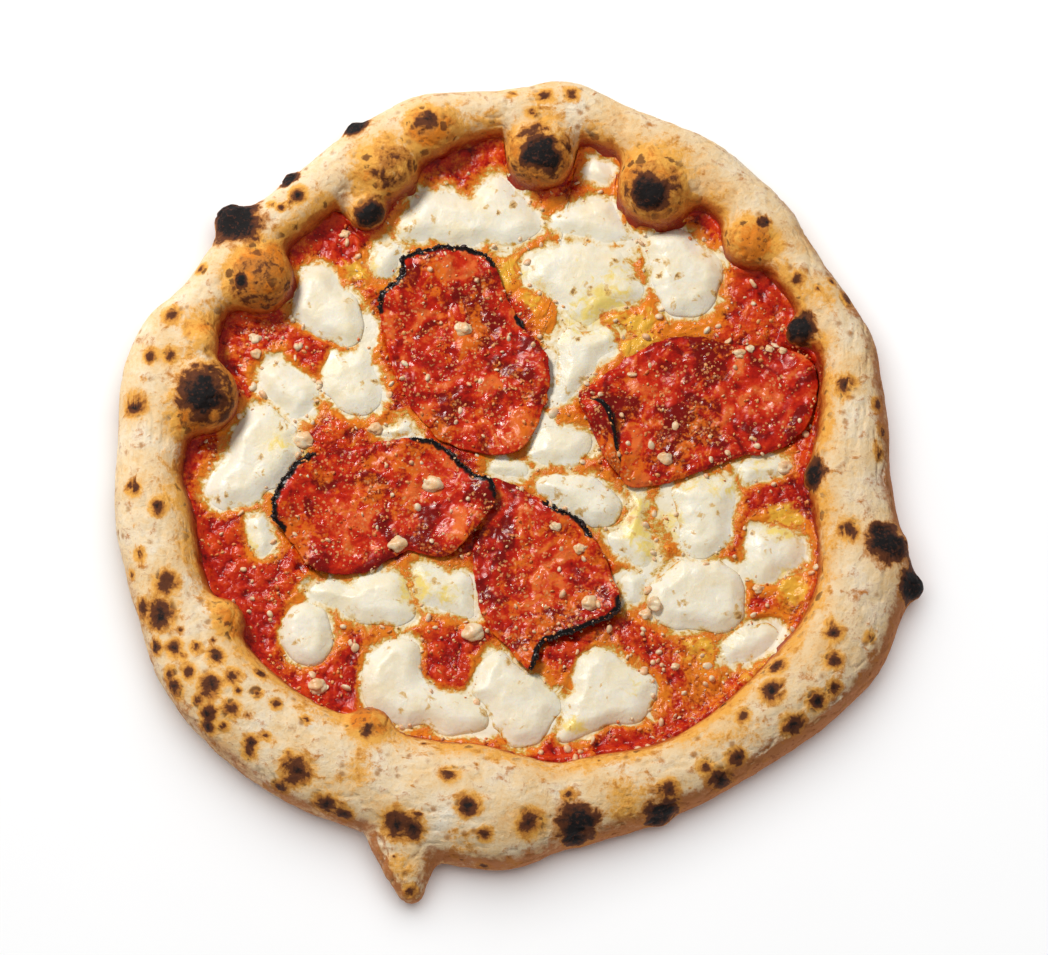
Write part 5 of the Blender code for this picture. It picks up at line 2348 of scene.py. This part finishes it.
@dataclass(frozen=True)
class Stage:
    """The floor, lights and camera; distances are in metres."""

    floor: float = 6.0
    floor_drop: float = 0.00015
    floor_colour: Colour = (0.93, 0.93, 0.93)
    floor_shade: Colour = (0.7, 0.7, 0.7)
    sky: float = 0.31
    lights: tuple[Light, ...] = (
        Light(130, 50, 1.5, 0.32, 18.5, (1.0, 0.98, 0.945), Lit.PIZZA),
        Light(100, 68, 1.8, 2.6, 47.0, (1.0, 1.0, 1.0), Lit.FLOOR),
    )
    metres_per_pixel: float = 0.00039
    picture_width: int = 1048
    lens: float = 600.0
    sensor: float = 36.0
    aim_pixel: tuple[float, float] = (518.0, 480.0)
    middle_pixel: tuple[float, float] = (524.0, 477.5)
    aim_shift: float = -0.00045

    def build(self) -> None:
        """Makes the floor, the lights, the sky and the camera."""
        scene = bpy.context.scene
        scene.view_settings.view_transform = "Standard"
        self.lay_floor()
        self.open_sky(scene)
        for number, light in enumerate(self.lights, start=1):
            self.hang(f"softbox_{number}", light)
        self.place_camera(scene)

    def lay_floor(self) -> None:
        """Lays a pale matt floor just under the pizza."""
        self.group(Lit.PIZZA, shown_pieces())
        corners = np.array([(-1, -1), (1, -1), (1, 1), (-1, 1)]) * self.floor / 2
        floor = hold("floor", make_mesh("floor", flat(corners, -self.floor_drop) / MM, [[0, 1, 2, 3]]))
        self.group(Lit.FLOOR, [floor])
        paint = Shading("pale_floor")
        tone = paint.coat(self.floor_colour, self.floor_shade, paint.noise(90, 2), 0.3, 0.7, 0.03)
        paint.set(Base_Color=tone, Roughness=0.9)
        floor.data.materials.append(paint.material)
        floor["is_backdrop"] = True

    def group(self, lit: Lit, members: list[bpy.types.Object]) -> None:
        """Gathers the objects that a light falls on.

        Args:
            lit: the name of the group.
            members: the objects.
        """
        collection = bpy.data.collections.new(lit.value)
        for member in members:
            collection.objects.link(member)

    def open_sky(self, scene: bpy.types.Scene) -> None:
        """Lights the scene evenly from all round.

        Args:
            scene: the scene.
        """
        world = bpy.data.worlds.new("studio")
        world.use_nodes = True
        background = world.node_tree.nodes["Background"]
        background.inputs["Color"].default_value = (1.0, 1.0, 1.0, 1.0)
        background.inputs["Strength"].default_value = self.sky
        scene.world = world

    def hang(self, name: str, light: Light) -> None:
        """Hangs one soft box.

        Args:
            name: its name.
            light: its place and strength.
        """
        lamp = bpy.data.lights.new(name, "AREA")
        lamp.shape = "SQUARE"
        lamp.size = light.width
        lamp.energy = light.power
        lamp.color = light.colour
        box = bpy.data.objects.new(name, lamp)
        around, up = math.radians(light.azimuth), math.radians(light.elevation)
        way = Vector((math.cos(around) * math.cos(up), math.sin(around) * math.cos(up), math.sin(up)))
        box.location = way * light.distance
        box.rotation_euler = way.to_track_quat("Z", "Y").to_euler()
        box.light_linking.receiver_collection = bpy.data.collections[light.falls_on.value]
        bpy.context.scene.collection.objects.link(box)

    def place_camera(self, scene: bpy.types.Scene) -> None:
        """Stands the camera where the picture was taken from.

        Args:
            scene: the scene.
        """
        lens = bpy.data.cameras.new("camera")
        lens.lens = self.lens
        lens.sensor_width = self.sensor
        lens.clip_end = 100.0
        camera = bpy.data.objects.new("camera", lens)
        right = (self.middle_pixel[0] - self.aim_pixel[0]) * self.metres_per_pixel
        up = (self.aim_pixel[1] - self.middle_pixel[1]) * self.metres_per_pixel
        aim = Vector((right, up / math.sin(SIGHT_ELEVATION) + self.aim_shift, 0.0))
        distance = self.picture_width * self.metres_per_pixel * self.lens / self.sensor
        camera.location = aim + Vector(SIGHT) * distance
        camera.rotation_euler = (math.pi / 2 - SIGHT_ELEVATION, 0.0, 0.0)
        scene.collection.objects.link(camera)
        scene.camera = camera


def main() -> None:
    """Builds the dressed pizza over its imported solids, from the dough up."""
    logging.basicConfig(level=logging.INFO, format="%(message)s")
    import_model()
    crust = Crust()
    crust.build()
    terrain = Terrain()
    Salami().build(terrain)
    Mozzarella().build(terrain, crust)
    terrain.survey()
    SauceBed().build(terrain, crust)
    Crumbs().build(terrain)
    Stage().build()


if __name__ == "__main__":
    main()
